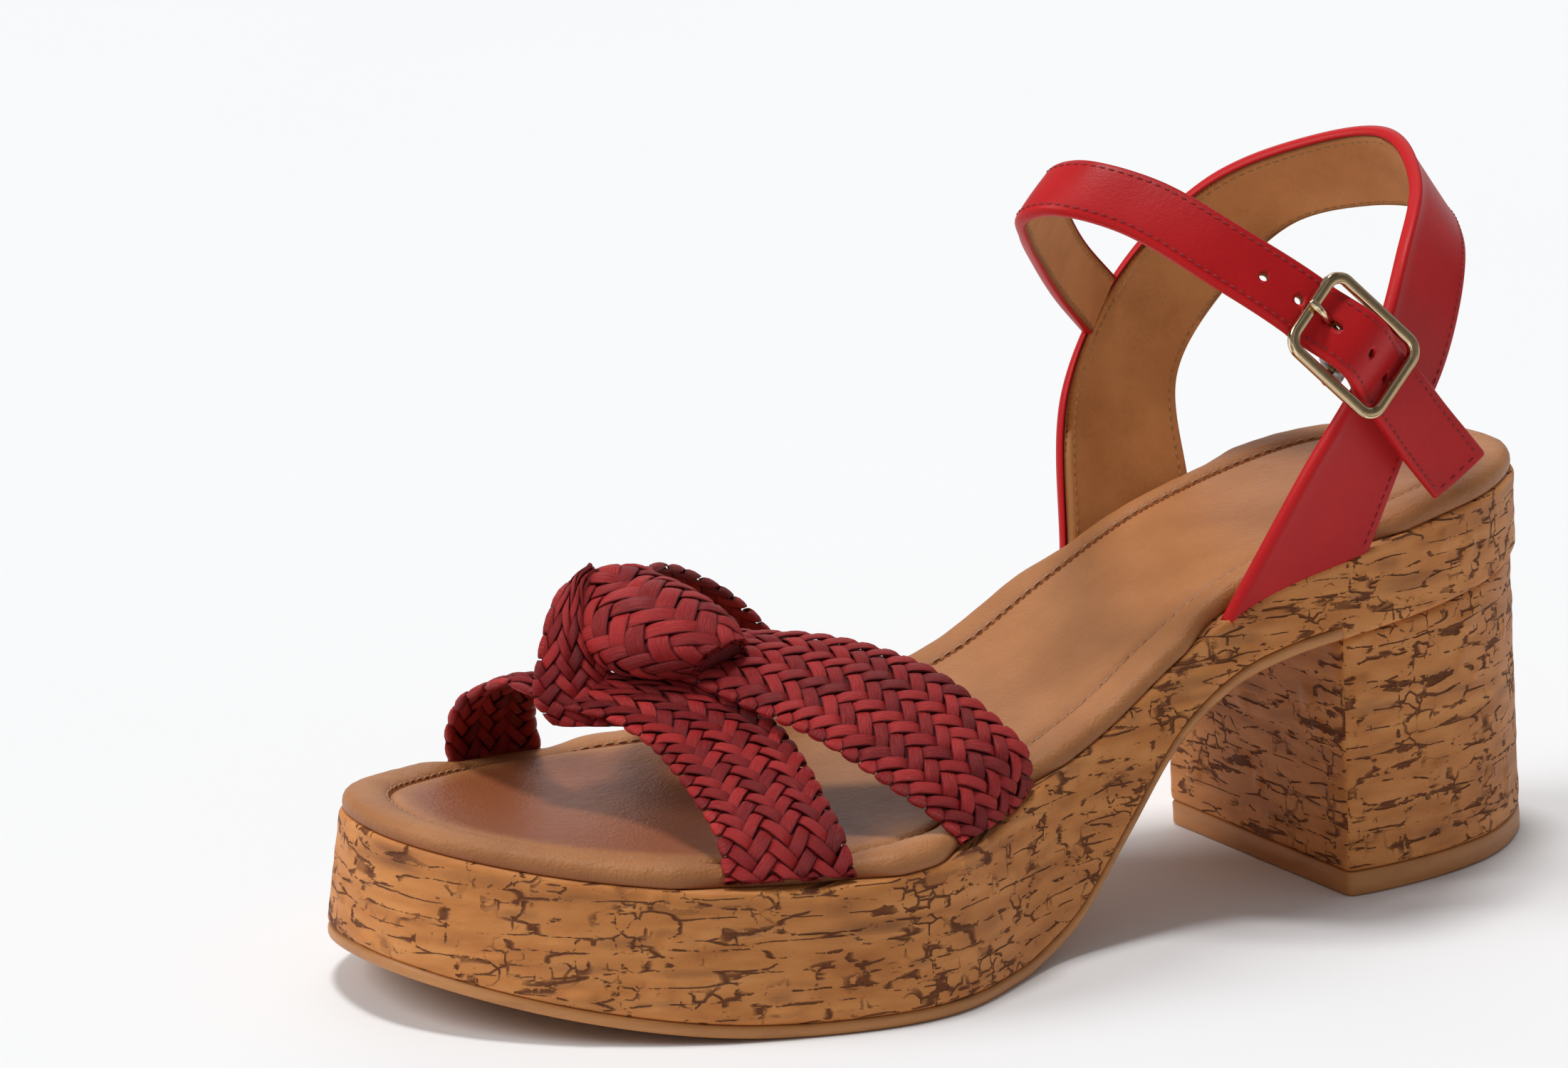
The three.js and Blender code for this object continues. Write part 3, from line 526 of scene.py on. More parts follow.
def corkSheet(wide, tall, seed):
    rng = np.random.default_rng(seed)
    cell = corkSet["cell"]
    shape = (int(tall / cell) + 2, int(wide / cell) + 2)
    raised, stain = np.zeros(shape), np.zeros(shape)
    for sheet, many, wideRange, tallRange in ((raised, "blocks", (1.0, 3.2), (0.9, 2.6)),
                                              (stain, "stains", (2, 9), (0.5, 1.6))):
        for _ in range(int(wide * tall * corkSet[many])):
            x, z = rng.random() * wide, rng.random() * tall
            rx, rz, strength = rng.uniform(*wideRange), rng.uniform(*tallRange), rng.uniform(0.3, 1)
            x0, x1 = max(0, int((x - 2 * rx) / cell)), min(shape[1], int((x + 2 * rx) / cell) + 2)
            z0, z1 = max(0, int((z - 2 * rz) / cell)), min(shape[0], int((z + 2 * rz) / cell) + 2)
            gx, gz = (np.arange(x0, x1) * cell - x) / rx, (np.arange(z0, z1) * cell - z) / rz
            spot = strength * np.exp(-(gz[:, None] ** 4 + gx[None, :] ** 4))
            sheet[z0:z1, x0:x1] = np.maximum(sheet[z0:z1, x0:x1], spot)
    tone = sum(share * softNoise(rng, shape, across, up) for share, across, up in corkSet["tone"])
    layers = softNoise(rng, shape, *corkSet["layers"])
    return {"raised": raised, "stain": stain, "tone": tone, "layers": layers}


def readSheet(sheet, x, z):
    cell = corkSet["cell"]
    gx = np.clip(x / cell, 0, sheet.shape[1] - 1.001)
    gz = np.clip(z / cell, 0, sheet.shape[0] - 1.001)
    ix, iz = gx.astype(int), gz.astype(int)
    fx, fz = gx - ix, gz - iz
    low = sheet[iz, ix] * (1 - fx) + sheet[iz, ix + 1] * fx
    high = sheet[iz + 1, ix] * (1 - fx) + sheet[iz + 1, ix + 1] * fx
    return low * (1 - fz) + high * fz


def flareAt(y):
    t = smooth(clamp01((y / length - 0.5) / 0.25))
    return soleSizes["flare"] * (1 - t) + soleSizes["heelFlare"] * t


def soleRing(count, start=0.0, end=None):
    xy, side, marks = outline(count, start, end)
    return {"xy": xy, "side": side, "marks": marks, "out": outwardNormals(xy), "y": xy[:, 1]}


def leftRight(count):
    return [[i, i + 1, count - 2 - i, count - 1 - i] for i in range(count // 2 - 1)]


def slabPiece(name, rings, paint, attributes=None, uvs=None, girth=0.0):
    count = len(rings[0])
    top = [[v + (len(rings) - 1) * count for v in face] for face in leftRight(count)]
    faces = gridFaces(len(rings), count, closeColumns=True) + [f[::-1] for f in leftRight(count)] + top
    return meshPiece(name, np.concatenate(rings), faces, paint, attributes, uvs, girth)


def standing(body, piece, slot, *nodes):
    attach(piece, body)
    if nodes:
        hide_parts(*nodes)
    return piece


# a piece whose place is baked into its mesh; the parts it stands for are hidden
def bending(piece, start, end, slot, *nodes):
    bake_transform(piece)
    if nodes:
        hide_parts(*nodes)
    return piece


# Cork rings from low to high. ringAt gives the plain ring and its normals at each share of the
# height; wear is how far the top and low edges are rubbed back and how far that reaches.
def corkRows(sheets, marks, low, high, rows, wear, ringAt):
    base = float(np.min(low))
    rings, uvs, values = [], [], {"raised": [], "stain": [], "tone": []}
    for share in np.linspace(0, 1, rows):
        z = low + (high - low) * share
        fromTop, fromLow = (1 - share) * (high - low), share * (high - low)
        rubbedAndGlint = (wear["top"] * clamp01(1 - fromTop / wear["topReach"]) ** 2
                  + wear["low"] * clamp01(1 - fromLow / wear["lowReach"]) ** 2)
        hold = clamp01(fromTop / wear["fade"]) * clamp01(fromLow / wear["fade"])
        read = {key: readSheet(sheet, marks, z - base) for key, sheet in sheets.items()}
        relief = hold * (corkSet["lump"] * read["raised"] + corkSet["ridge"] * (read["layers"] - 0.5))
        xy, out = ringAt(share)
        rings.append(np.column_stack([xy + out * (relief - rubbedAndGlint)[:, None], z]))
        for key in values:
            values[key].append(read[key])
        uvs.append(np.column_stack([marks, z]))
    attributes = {key: np.concatenate(parts) for key, parts in values.items()}
    return rings, attributes, np.concatenate(uvs)


platformSet = {"count": 1000, "rows": 44, "gap": 0.15, "seed": 11,
               "wear": {"top": 0.5, "topReach": 1.2, "low": 0.6, "lowReach": 1.0, "fade": 1.4}}
# each ring of the outsole as a step out from the platform's edge and a rise above the underside
outsoleSet = {"count": 620, "gap": 0.3,
              "profile": ((-2.6, 0), (-0.9, 0), (-0.35, 0.25), (-0.12, 0.8), (-0.1, 1.8),
                          (-0.3, 2.45), (-0.9, 2.6), (-3.2, 2.6))}


def makeSole():
    ring = soleRing(platformSet["count"])
    y = ring["y"]
    low = underside(y) + np.where(y < heelFront - 0.2, soleSizes["outsole"] + platformSet["gap"], 0)
    high = topEdge(y)
    flare = flareAt(y)[:, None]
    # the sheet's own seam comes at the back of the heel
    girth = float(ring["marks"][-1] + ring["marks"][1])
    marks = (ring["marks"] + girth / 2) % girth
    sheets = corkSheet(girth + 2, float(np.max(high)) - float(np.min(low)) + 2, platformSet["seed"])

    def ringAt(share):
        return ring["xy"] + ring["out"] * flare * (1 - share), ring["out"]

    rings, attributes, uvs = corkRows(sheets, marks, low, high, platformSet["rows"],
                                      platformSet["wear"], ringAt)
    platform = slabPiece("cork_platform", rings, "cork", attributes, uvs, girth)
    standing("sandal", platform, "cork", "platform_midsole")

    tread = soleRing(outsoleSet["count"], 0.0, heelFront - outsoleSet["gap"])
    floor = underside(tread["y"])
    rings = []
    for grow, rise in outsoleSet["profile"]:
        at = tread["xy"] + tread["out"] * (flareAt(tread["y"]) + grow)[:, None]
        rings.append(np.column_stack([at, floor + rise]))
    outsole = slabPiece("outsole_edge", rings, "sole")
    standing("sandal", outsole, "sole_rubber", "outsole")


# The heel block leans to the outer side and its foot stands out a little. Each ring of its lift is
# a level of the block (1 at the floor), a step out and a height; None is the block's own foot.
heelSet = {"count": 520, "rows": 90, "gap": 0.2, "topGap": 0.1, "seed": 23, "inset": 0.4,
           "outerLean": 3.6, "innerLean": -3.4, "backLean": 2.8, "rounding": 1.1, "liftCount": 420,
           "wear": {"top": 1.05, "topReach": 1.6, "low": 0.35, "lowReach": 0.6, "fade": 1.2},
           "lift": ((1, -1.2, 0), (1, -0.35, 0.05), (1, 0, 0.5), (0.985, 0.05, 2.4),
                    (None, 0.05, 4.3), (None, -0.2, 4.75), (None, -1.4, 4.8))}


def heelRing(level, count):
    u = np.linspace(float(stationU(np.array(heelFront))), 1 - 1e-4, 400)
    y = stationY(u)
    back = smooth(clamp01((y - heelFront) / soleSizes["breast"]))
    halves = []
    for side, lean in ((1, heelSet["outerLean"]), (-1, heelSet["innerLean"])):
        x = side * halfWidth(side, y)
        dx, dy = np.gradient(x), np.gradient(y)
        n = np.hypot(dx, dy)
        inset = heelSet["inset"] - level * (lean * (1 - back) + heelSet["backLean"] * back)
        halves.append(np.stack([x - side * inset * dy / n, y + side * inset * dx / n], -1))
    path = np.concatenate([halves[0], halves[1][::-1], halves[0][:1]])
    run = runAlong(path)
    marks = np.linspace(0, run[-1], count, endpoint=False)
    xy = np.stack([np.interp(marks, run, path[:, k]) for k in (0, 1)], -1)
    window = max(1, int(heelSet["rounding"] / (run[-1] / count)))
    for _ in range(3):
        xy = sum(np.roll(xy, k, 0) for k in range(-window, window + 1)) / (2 * window + 1)
    return xy, marks


def makeHeel():
    count = heelSet["count"]
    foot = soleSizes["topPiece"] + heelSet["gap"]
    first, marks = heelRing(0, count)
    top = underside(first[:, 1]) - heelSet["topGap"]
    sheets = corkSheet(float(marks[-1]) + 2, float(top.max() - foot) + 2, heelSet["seed"])
    footLevel = 1 - foot / blockTopBack

    def ringAt(share):
        xy, _ = heelRing(footLevel * (1 - share), count)
        return xy, outwardNormals(xy)

    rings, attributes, uvs = corkRows(sheets, marks, np.full(count, foot), top, heelSet["rows"],
                                      heelSet["wear"], ringAt)
    block = meshPiece("cork_heel", np.concatenate(rings), tubeFaces(len(rings), count), "cork",
                      attributes, uvs, float(marks[-1] + marks[1]))
    standing("sandal", block, "cork", "heel_block")

    count = heelSet["liftCount"]
    rings = []
    for level, grow, z in heelSet["lift"]:
        xy, _ = heelRing(footLevel if level is None else level, count)
        rings.append(np.column_stack([xy + outwardNormals(xy) * grow, np.full(count, z)]))
    lift = meshPiece("heel_lift", np.concatenate(rings), tubeFaces(len(rings), count), "sole")
    standing("sandal", lift, "sole_rubber", "heel_top_piece")


makeSole()
makeHeel()
print("stage: sole unit made")


# Footbed: the rim draws in where a strap comes up past it, and is pressed down under the plaits.
slingFoot = (length - 86, length - 54)
wovenFeet = {"rearOuter": (98, 121), "rearInner": (96, 118), "frontOuter": (46.5, 69.5),
             "frontInner": (43.5, 64.5)}
slingStretches = ((1, *slingFoot), (-1, *slingFoot))
wovenStretches = ((1, *wovenFeet["rearOuter"]), (-1, *wovenFeet["rearInner"]),
                  (1, *wovenFeet["frontOuter"]), (-1, *wovenFeet["frontInner"]))
bedSet = {"count": 900, "rim": 9.6, "clear": 0.5, "slingRecess": 3.6, "wovenRecess": 3.2,
          "pressed": 0.8, "easing": 11}
# each ring of the rim as an inset from the sole's edge and a rise above it
rimProfile = ((9.4, 0.2), (3.0, 0.1), (1.0, 0.1), (0.62, 0.5), (0.5, 1.3), (0.6, 2.2), (0.95, 3.0),
              (1.55, 3.65), (2.5, 4.15), (3.8, 4.5), (5.2, 4.6), (6.6, 4.5), (7.8, 4.25),
              (8.7, 3.9), (9.2, 3.55), (9.45, 3.2), (9.5, 2.8))


def nearStretch(stretches, side, y):
    best = np.zeros(len(y))
    for s, start, end in stretches:
        away = np.maximum(np.maximum(start - y, y - end), 0)
        best = np.maximum(best, np.where(side == s, smooth(clamp01(1 - away / bedSet["easing"])), 0))
    return best


bedRing = soleRing(bedSet["count"])
byWoven = nearStretch(wovenStretches, bedRing["side"], bedRing["y"])
rimHeight = 1 - (1 - bedSet["pressed"]) * byWoven


def makeRim():
    y, clear = bedRing["y"], bedSet["clear"]
    bySling = nearStretch(slingStretches, bedRing["side"], y)
    outer = np.maximum(clear + (bedSet["slingRecess"] - clear) * bySling,
                       clear + (bedSet["wovenRecess"] - clear) * byWoven)
    ripple = np.sin(bedRing["marks"] * 0.9) * np.sin(bedRing["marks"] * 0.23 + 1) * 0.05
    toe = clamp01((120 - y) / 70)
    rings, shade = [], []
    for inset, rise in rimProfile:
        amount = outer + (bedSet["rim"] - outer) * (inset - clear) / (bedSet["rim"] - clear)
        at = bedRing["xy"] - bedRing["out"] * amount[:, None]
        z = topEdge(at[:, 1]) + rise * rimHeight + ripple * (rise > 1) * (rise < 4.4)
        rings.append(np.column_stack([at, z]))
        # painted shade on the rim's low edge where it meets the cork, stronger at the toe where the edge is
        # also burnished; painted shade on the inner edge going down into the seam groove
        lowEdge = clamp01(1 - rise / 2.4) * (inset < 2)
        shade.append(lowEdge * (0.25 + 0.45 * toe) + 0.35 * clamp01((inset - 8.2) / 1.2))
    faces = gridFaces(len(rings), len(y), closeRows=True, closeColumns=True)
    rim = meshPiece("footbed_rim_leather", np.concatenate(rings), faces, "footbed",
                    {"shade": np.concatenate(shade)})
    standing("sandal", rim, "footbed_leather", "footbed_rim")


# The sock fills the rim, a little proud at its sewn edge and worn into a dish in the middle.
# Hollows are (y, x, length, width) of the dents under the toes and the heel.
sockSet = {"across": 70, "gap": 0.05, "rise": 2.9, "edgeRise": 1.1, "dish": 0.55, "dishReach": 16,
           "dent": 0.5, "hollows": ((58, -2, 26, 26), (222, 0, 22, 16)), "under": 0.6}


def makeSock():
    rows, across = len(bedRing["y"]) // 2, sockSet["across"]
    inner = bedRing["xy"] - bedRing["out"] * (bedSet["rim"] + sockSet["gap"])
    w = (1 - np.cos(np.pi * np.linspace(0, 1, across))) / 2
    left, right = inner[:rows], inner[::-1][:rows]
    flat = left[:, None, :] * (1 - w)[None, :, None] + right[:, None, :] * w[None, :, None]
    points = flat.reshape(-1, 2)
    away = np.full(len(points), 1e9)
    for start in range(0, len(inner), 60):
        part = inner[start:start + 60:2]
        away = np.minimum(away, np.linalg.norm(points[:, None, :] - part[None], axis=-1).min(1))
    px, py = points[:, 0], points[:, 1]
    rise = (sockSet["rise"] + sockSet["edgeRise"] * (1 - np.exp(-away / 0.8))
            - sockSet["dish"] * smooth(clamp01(away / sockSet["dishReach"])))
    for y, x, long, wide in sockSet["hollows"]:
        rise -= sockSet["dent"] * np.exp(-((py - y) / long) ** 2 - ((px - x) / wide) ** 2)
    top = np.column_stack([points, topEdge(py) + rise])
    bottom = np.column_stack([points, topEdge(py) + sockSet["under"]])
    count = rows * across
    faces = [f[::-1] for f in gridFaces(rows, across)]
    faces += [[v + count for v in f[::-1]] for f in faces]
    far = count - across
    border = [((i + 1) * across, i * across) for i in range(rows - 1)]
    border += [(i * across + across - 1, (i + 1) * across + across - 1) for i in range(rows - 1)]
    border += [(j, j + 1) for j in range(across - 1)]
    border += [(far + j + 1, far + j) for j in range(across - 1)]
    faces += [[a, b, b + count, a + count] for a, b in border]
    # the darker toe and seat are burnish where the foot wears the sock; the dark band right at the sock's
    # edge is painted shade in the groove against the rim
    toe = smooth(clamp01((104 - py) / 46)) * smooth(clamp01(away / 7))
    seat = np.exp(-((py - 224) / 26) ** 2) * smooth(clamp01(away / 9)) * 0.25
    dark = toe * 0.85 + seat + 0.25 * np.exp(-away / 0.7)
    sock = meshPiece("sock_leather", np.concatenate([top, bottom]), faces, "footbed",
                     {"shade": np.concatenate([dark, dark])})
    standing("sandal", sock, "footbed_leather", "sock_lining", "footbed_foam", "insole_board")


# One stitch is a short tube: shares of its length, its thickness and its lift at each ring.
stitchSet = {"sides": 6, "along": (-0.5, -0.36, 0, 0.36, 0.5), "thick": (0.35, 0.9, 1, 0.9, 0.35),
             "lift": (-0.9, 0.05, 0.35, 0.05, -0.9), "slant": 0.12, "squash": 0.8}


# one mesh of short stitches that follow a line of points
def stitches(name, line, ups, paint, pitch, long, radius, keep=None):
    line, ups = np.asarray(line, float), np.asarray(ups, float)
    run = runAlong(line)
    count = max(1, int(run[-1] / pitch))
    sides = stitchSet["sides"]
    stitchFaces = tubeFaces(len(stitchSet["along"]), sides)
    points, faces = [], []
    for k in range(count):
        middle = (k + 0.5) * run[-1] / count
        nearest = min(len(line) - 1, int(np.searchsorted(run, middle)))
        if keep is not None and not keep[nearest]:
            continue
        up = ups[nearest] / np.linalg.norm(ups[nearest])
        marks = middle + np.array(stitchSet["along"]) * long
        spots = np.stack([np.interp(marks, run, line[:, i]) for i in range(3)], -1)
        along = spots[-1] - spots[0]
        along /= np.linalg.norm(along)
        across = np.cross(up, along) + along * stitchSet["slant"]
        faces += [[v + len(points) for v in face] for face in stitchFaces]
        for spot, thick, lift in zip(spots, stitchSet["thick"], stitchSet["lift"]):
            for j in range(sides):
                a = j * 2 * math.pi / sides
                points.append(spot + across * radius * thick * math.cos(a)
                              + up * radius * (thick * math.sin(a) * stitchSet["squash"] + lift))
    return meshPiece(name, points, faces, paint)


bedSeamSet = {"inset": 0.55, "rise": 3.75, "pitch": 2.6, "long": 1.9, "radius": 0.22}


def makeBedSeam():
    seam = bedRing["xy"] - bedRing["out"] * (bedSet["rim"] - bedSeamSet["inset"])
    points = np.column_stack([seam, topEdge(seam[:, 1]) + bedSeamSet["rise"] * rimHeight])
    ups = np.tile([0, 0, 1.0], (len(seam), 1))
    thread = stitches("footbed_seam", points, ups, "bedThread", bedSeamSet["pitch"],
                      bedSeamSet["long"], bedSeamSet["radius"], byWoven < 0.95)
    standing("sandal", thread, "footbed_leather")
makeRim()
makeSock()
makeBedSeam()
print("stage: footbed made")


# Straps. A dense curve passes smoothly through its points.
def denseCurve(points, per=40):
    pts = np.asarray(points, float)
    pts = np.concatenate([[2 * pts[0] - pts[1]], pts, [2 * pts[-1] - pts[-2]]])
    out = []
    for i in range(1, len(pts) - 2):
        p0, p1, p2, p3 = pts[i - 1:i + 3]
        d0, d1, d2 = (max(1e-4, np.linalg.norm(b - a) ** 0.5) for a, b in ((p0, p1), (p1, p2), (p2, p3)))
        m1 = ((p1 - p0) / d0 - (p2 - p0) / (d0 + d1) + (p2 - p1) / d1) * d1
        m2 = ((p2 - p1) / d1 - (p3 - p1) / (d1 + d2) + (p3 - p2) / d2) * d1
        t = np.linspace(0, 1, per, endpoint=False)[:, None]
        out.append(p1 + m1 * t + (-3 * p1 + 3 * p2 - 2 * m1 - m2) * t ** 2
                   + (2 * p1 - 2 * p2 + m1 + m2) * t ** 3)
    out.append(pts[-2][None])
    return np.concatenate(out)


def spaced(dense, s, run=None):
    if run is None:
        run = runAlong(dense)
    at = clamp01(s) * run[-1]
    return np.stack([np.interp(at, run, dense[:, k]) for k in range(dense.shape[1])], -1)


# A strap's surface lies between its two edges. s runs along it and w across it, both from 0 to 1.
class Band:
    def __init__(self, edgeA, edgeB, feet=None, crown=0.0, down=False):
        self.a, self.b, self.feet, self.crown = denseCurve(edgeA), denseCurve(edgeB), feet, crown
        s = np.linspace(0, 1, 201)
        middle = (spaced(self.a, s) + spaced(self.b, s)) / 2
        self.length = float(np.linalg.norm(np.diff(middle, axis=0), axis=1).sum())
        self.sign = -1.0 if down else 1.0

    def flat(self, s, w):
        s, w = np.asarray(s, float), np.asarray(w, float)
        w = w[..., None]
        p = spaced(self.a, s) * (1 - w) + spaced(self.b, s) * w
        if self.feet is not None:
            for end, line in ((0, self.feet[0]), (1, self.feet[1])):
                k = clamp01(1 - np.abs(s - end) / 0.1)[..., None] ** 2
                straight = spaced(self.a, np.full_like(s, end)) * (1 - w)
                straight = straight + spaced(self.b, np.full_like(s, end)) * w
                p = p + (line(w[..., 0]) - straight) * k
        return p

    def normal(self, s, w):
        s, w = np.asarray(s, float), np.asarray(w, float)
        along = self.flat(np.minimum(1, s + 0.006), w) - self.flat(np.maximum(0, s - 0.006), w)
        across = self.flat(s, np.minimum(1, w + 0.1)) - self.flat(s, np.maximum(0, w - 0.1))
        n = np.cross(along, across) * self.sign
        return n / np.linalg.norm(n, axis=-1, keepdims=True)

    # turns the surface so that its normal halfway across at s points the given way
    def face(self, s, way):
        self.sign = 1.0
        if np.dot(self.normal(np.array([s]), np.array([0.5]))[0], way) <= 0:
            self.sign = -1.0

    def across(self, s):
        s = np.asarray(s, float)
        d = self.flat(s, np.ones_like(s)) - self.flat(s, np.zeros_like(s))
        return d / np.linalg.norm(d, axis=-1, keepdims=True)

    def at(self, s, w):
        bulge = self.crown * 4 * w * (1 - w)
        return self.flat(s, w) + self.normal(s, w) * np.asarray(bulge)[..., None]


def onEdge(side, y, inset, lift):
    y = np.atleast_1d(np.asarray(y, float))
    u = stationU(y)
    y0, y1 = stationY(u - 0.004), stationY(u + 0.004)
    dx, dy = side * (halfWidth(side, y1) - halfWidth(side, y0)), y1 - y0
    n = np.hypot(dx, dy)
    place = y + inset * side * dx / n
    x = side * (halfWidth(side, y) - inset * dy / n)
    return np.stack([x, place, topEdge(place) + lift], -1)


def footLine(side, span, inset, lift):
    shareAt = np.linspace(0, 1, 25)
    line = onEdge(side, span[0] + (span[1] - span[0]) * shareAt, inset, lift)
    return lambda w: np.stack([np.interp(w, shareAt, line[:, k]) for k in range(3)], -1)


# The ring of a leather layer: place across, step aside and height, with its edges rounded. A wrap
# takes that edge down over the layer beneath.
def layerRing(columns, low, high, rolled=False, wraps=(0, 0)):
    curve = (high - low) / 2
    w = np.linspace(0, 1, columns)
    top = [(k, curve * (k == 0) - curve * (k == 1), high) for k in w]
    if rolled:
        top = [(k, a, h + 0.35 * math.exp(-((k - 0.02) / 0.06) ** 2)) for k, a, h in top]
    under = [(k, curve * (k == 0) - curve * (k == 1), low - wraps[1] * (k == 1) - wraps[0] * (k == 0))
             for k in w[::-1]]
    under.insert(1, (0.965, 0, low))
    under.insert(-1, (0.035, 0, low))
    arcs = np.radians([60, 30, 0, -30, -60])
    sides = []
    for wrap in wraps:
        middle, tall = (high + low - wrap) / 2, (high - low + wrap) / 2
        sides.append([(-curve + curve * math.cos(a), middle + tall * math.sin(a)) for a in arcs])
    left = [(0.0, -a, h) for a, h in sides[0][::-1]]
    right = [(1.0, a, h) for a, h in sides[1]]
    return np.array(top + right + under + left)


def leatherLayer(name, band, s, ring, paint, edges=(0, 1), edgeReach=0.12):
    rows, columns = len(s), len(ring)
    ss = np.repeat(s, columns)
    ww = np.tile(ring[:, 0], rows)
    aside = np.tile(ring[:, 1], rows)
    height = np.tile(ring[:, 2], rows)
    base = band.at(ss, np.clip(ww, edges[0], edges[1]))
    points = base + band.across(ss) * aside[:, None] + band.normal(ss, ww) * height[:, None]
    # edge marks one edge of the layer for the red finish's painted highlight
    edge = clamp01(1 - np.minimum(ww, 1 - ww) / edgeReach)
    return meshPiece(name, points, tubeFaces(rows, columns), paint, {"edge": edge * (ww < 0.5)})


def seamAlong(name, band, s, w, height, paint, pitch=1.9, long=1.55, radius=0.19, flip=1.0):
    ww = np.full(len(s), w)
    normals = band.normal(s, ww) * flip
    line = band.at(s, ww) + band.normal(s, ww) * height
    return stitches(name, line, normals, paint, pitch, long, radius)


# A band whose two ends stand in a line along the sole's edge. edges holds the free points of its
# two edges, from the outer side to the inner.
def footedBand(edges, outerFoot, innerFoot, inset, lift, crown=0.0, down=False):
    spans = ((1, outerFoot), (-1, innerFoot))
    feet = [footLine(side, span, inset, lift) for side, span in spans]
    whole = []
    for k, edge in enumerate(edges):
        ends = [onEdge(side, span[k], inset, lift)[0] for side, span in spans]
        whole.append([ends[0], *edge, ends[1]])
    return Band(whole[0], whole[1], feet, crown, down)


strapSet = {"leather": 1.3, "lining": 1.1, "width": 13.4, "inset": 1.6, "drop": -0.4}


def byHeel(rows):
    return [(x, length - back, soleSizes["heel"] + up) for x, back, up in rows]


# The sling's free edge points: across, back from the heel's end and above the heel.
slingFront = [(37.5, 74, 12), (40.4, 60.3, 34.5), (32.8, 47.7, 53), (18.3, 34.5, 63.5),
              (-0.5, 28.6, 68.6), (-18.6, 35.6, 64), (-33.7, 48.5, 54.3), (-40.7, 64, 37),
              (-36.6, 79.3, 15.2)]
slingRear = [(34.6, 47.4, 14), (34.6, 38.6, 30.5), (27.9, 29.7, 44.1), (15.2, 21.2, 49.3),
             (-0.3, 15.6, 51.2), (-16.2, 19.3, 50), (-29.4, 28.9, 45), (-35, 41.2, 32.3),
             (-36.4, 52.2, 15.8)]


def makeSling():
    leather, lining = strapSet["leather"], strapSet["lining"]
    band = footedBand([byHeel(slingFront), byHeel(slingRear)], slingFoot, slingFoot,
                      strapSet["inset"], strapSet["drop"], down=True)
    s = np.linspace(0, 1, 230)
    outerRing = layerRing(15, 0.0, leather, True, (lining + 0.05, 0))
    outer = leatherLayer("sling_leather", band, s, outerRing, "red")
    standing("sandal", outer, "red_leather", "sling_outer")
    innerRing = layerRing(11, -lining, -0.02)
    inner = leatherLayer("sling_lining_leather", band, s, innerRing, "lining", (0.042, 0.985))
    standing("sandal", inner, "tan_lining", "sling_lining")
    run = np.linspace(0.012, 0.988, 500)
    for name, w, height, paint, flip in (
            ("sling_seam_rear", 0.93, leather, "redThread", 1),
            ("sling_lining_seam_front", 0.115, -lining, "tanThread", -1),
            ("sling_lining_seam_rear", 0.925, -lining, "tanThread", -1)):
        seam = seamAlong(name, band, run, w, height, paint, flip=flip)
        standing("sandal", seam, "red_leather" if flip > 0 else "tan_lining")
    return band


sling = makeSling()


# The ankle strap's middle line, in the heel's own terms, and its lean, from the inner seam round.
ankleRows = [((-40.4, 67.8, 30.5), (-0.15, 0.55, 0.82)), ((-30.6, 81.6, 41.3), (-0.2, 0.55, 0.81)),
             ((-18.9, 94.1, 51.9), (-0.17, 0.6, 0.78)), ((-8.3, 103.2, 59.5), (-0.1, 0.68, 0.72)),
             ((-1, 108.3, 65.2), (-0.08, 0.72, 0.69)), ((7.5, 107, 67.9), (-0.1, 0.76, 0.64)),
             ((18.4, 98.4, 65.3), (-0.14, 0.78, 0.61)), ((32.6, 87.5, 56.7), (-0.14, 0.75, 0.64)),
             ((43, 75.1, 46.4), (-0.12, 0.72, 0.69)), ((45.6, 60.9, 32.6), (-0.05, 0.7, 0.71)),
             ((43, 48.3, 19.1), (0.16, 0.7, 0.7)), ((40.6, 38.9, 9.6), (0.35, 0.66, 0.66))]
buckleSet = {"at": 0.767, "reach": 12.1, "drop": 2.2, "bar": 1.1, "centreBar": 0.95, "side": 1.9,
             "gore": 1.5, "goreWide": 11.5, "run": 0.6, "slack": 0.3, "prong": 0.75, "corner": 3.2,
             "rim": (1.15, 0.85, 0.5), "pin": (0.85, 0.7)}


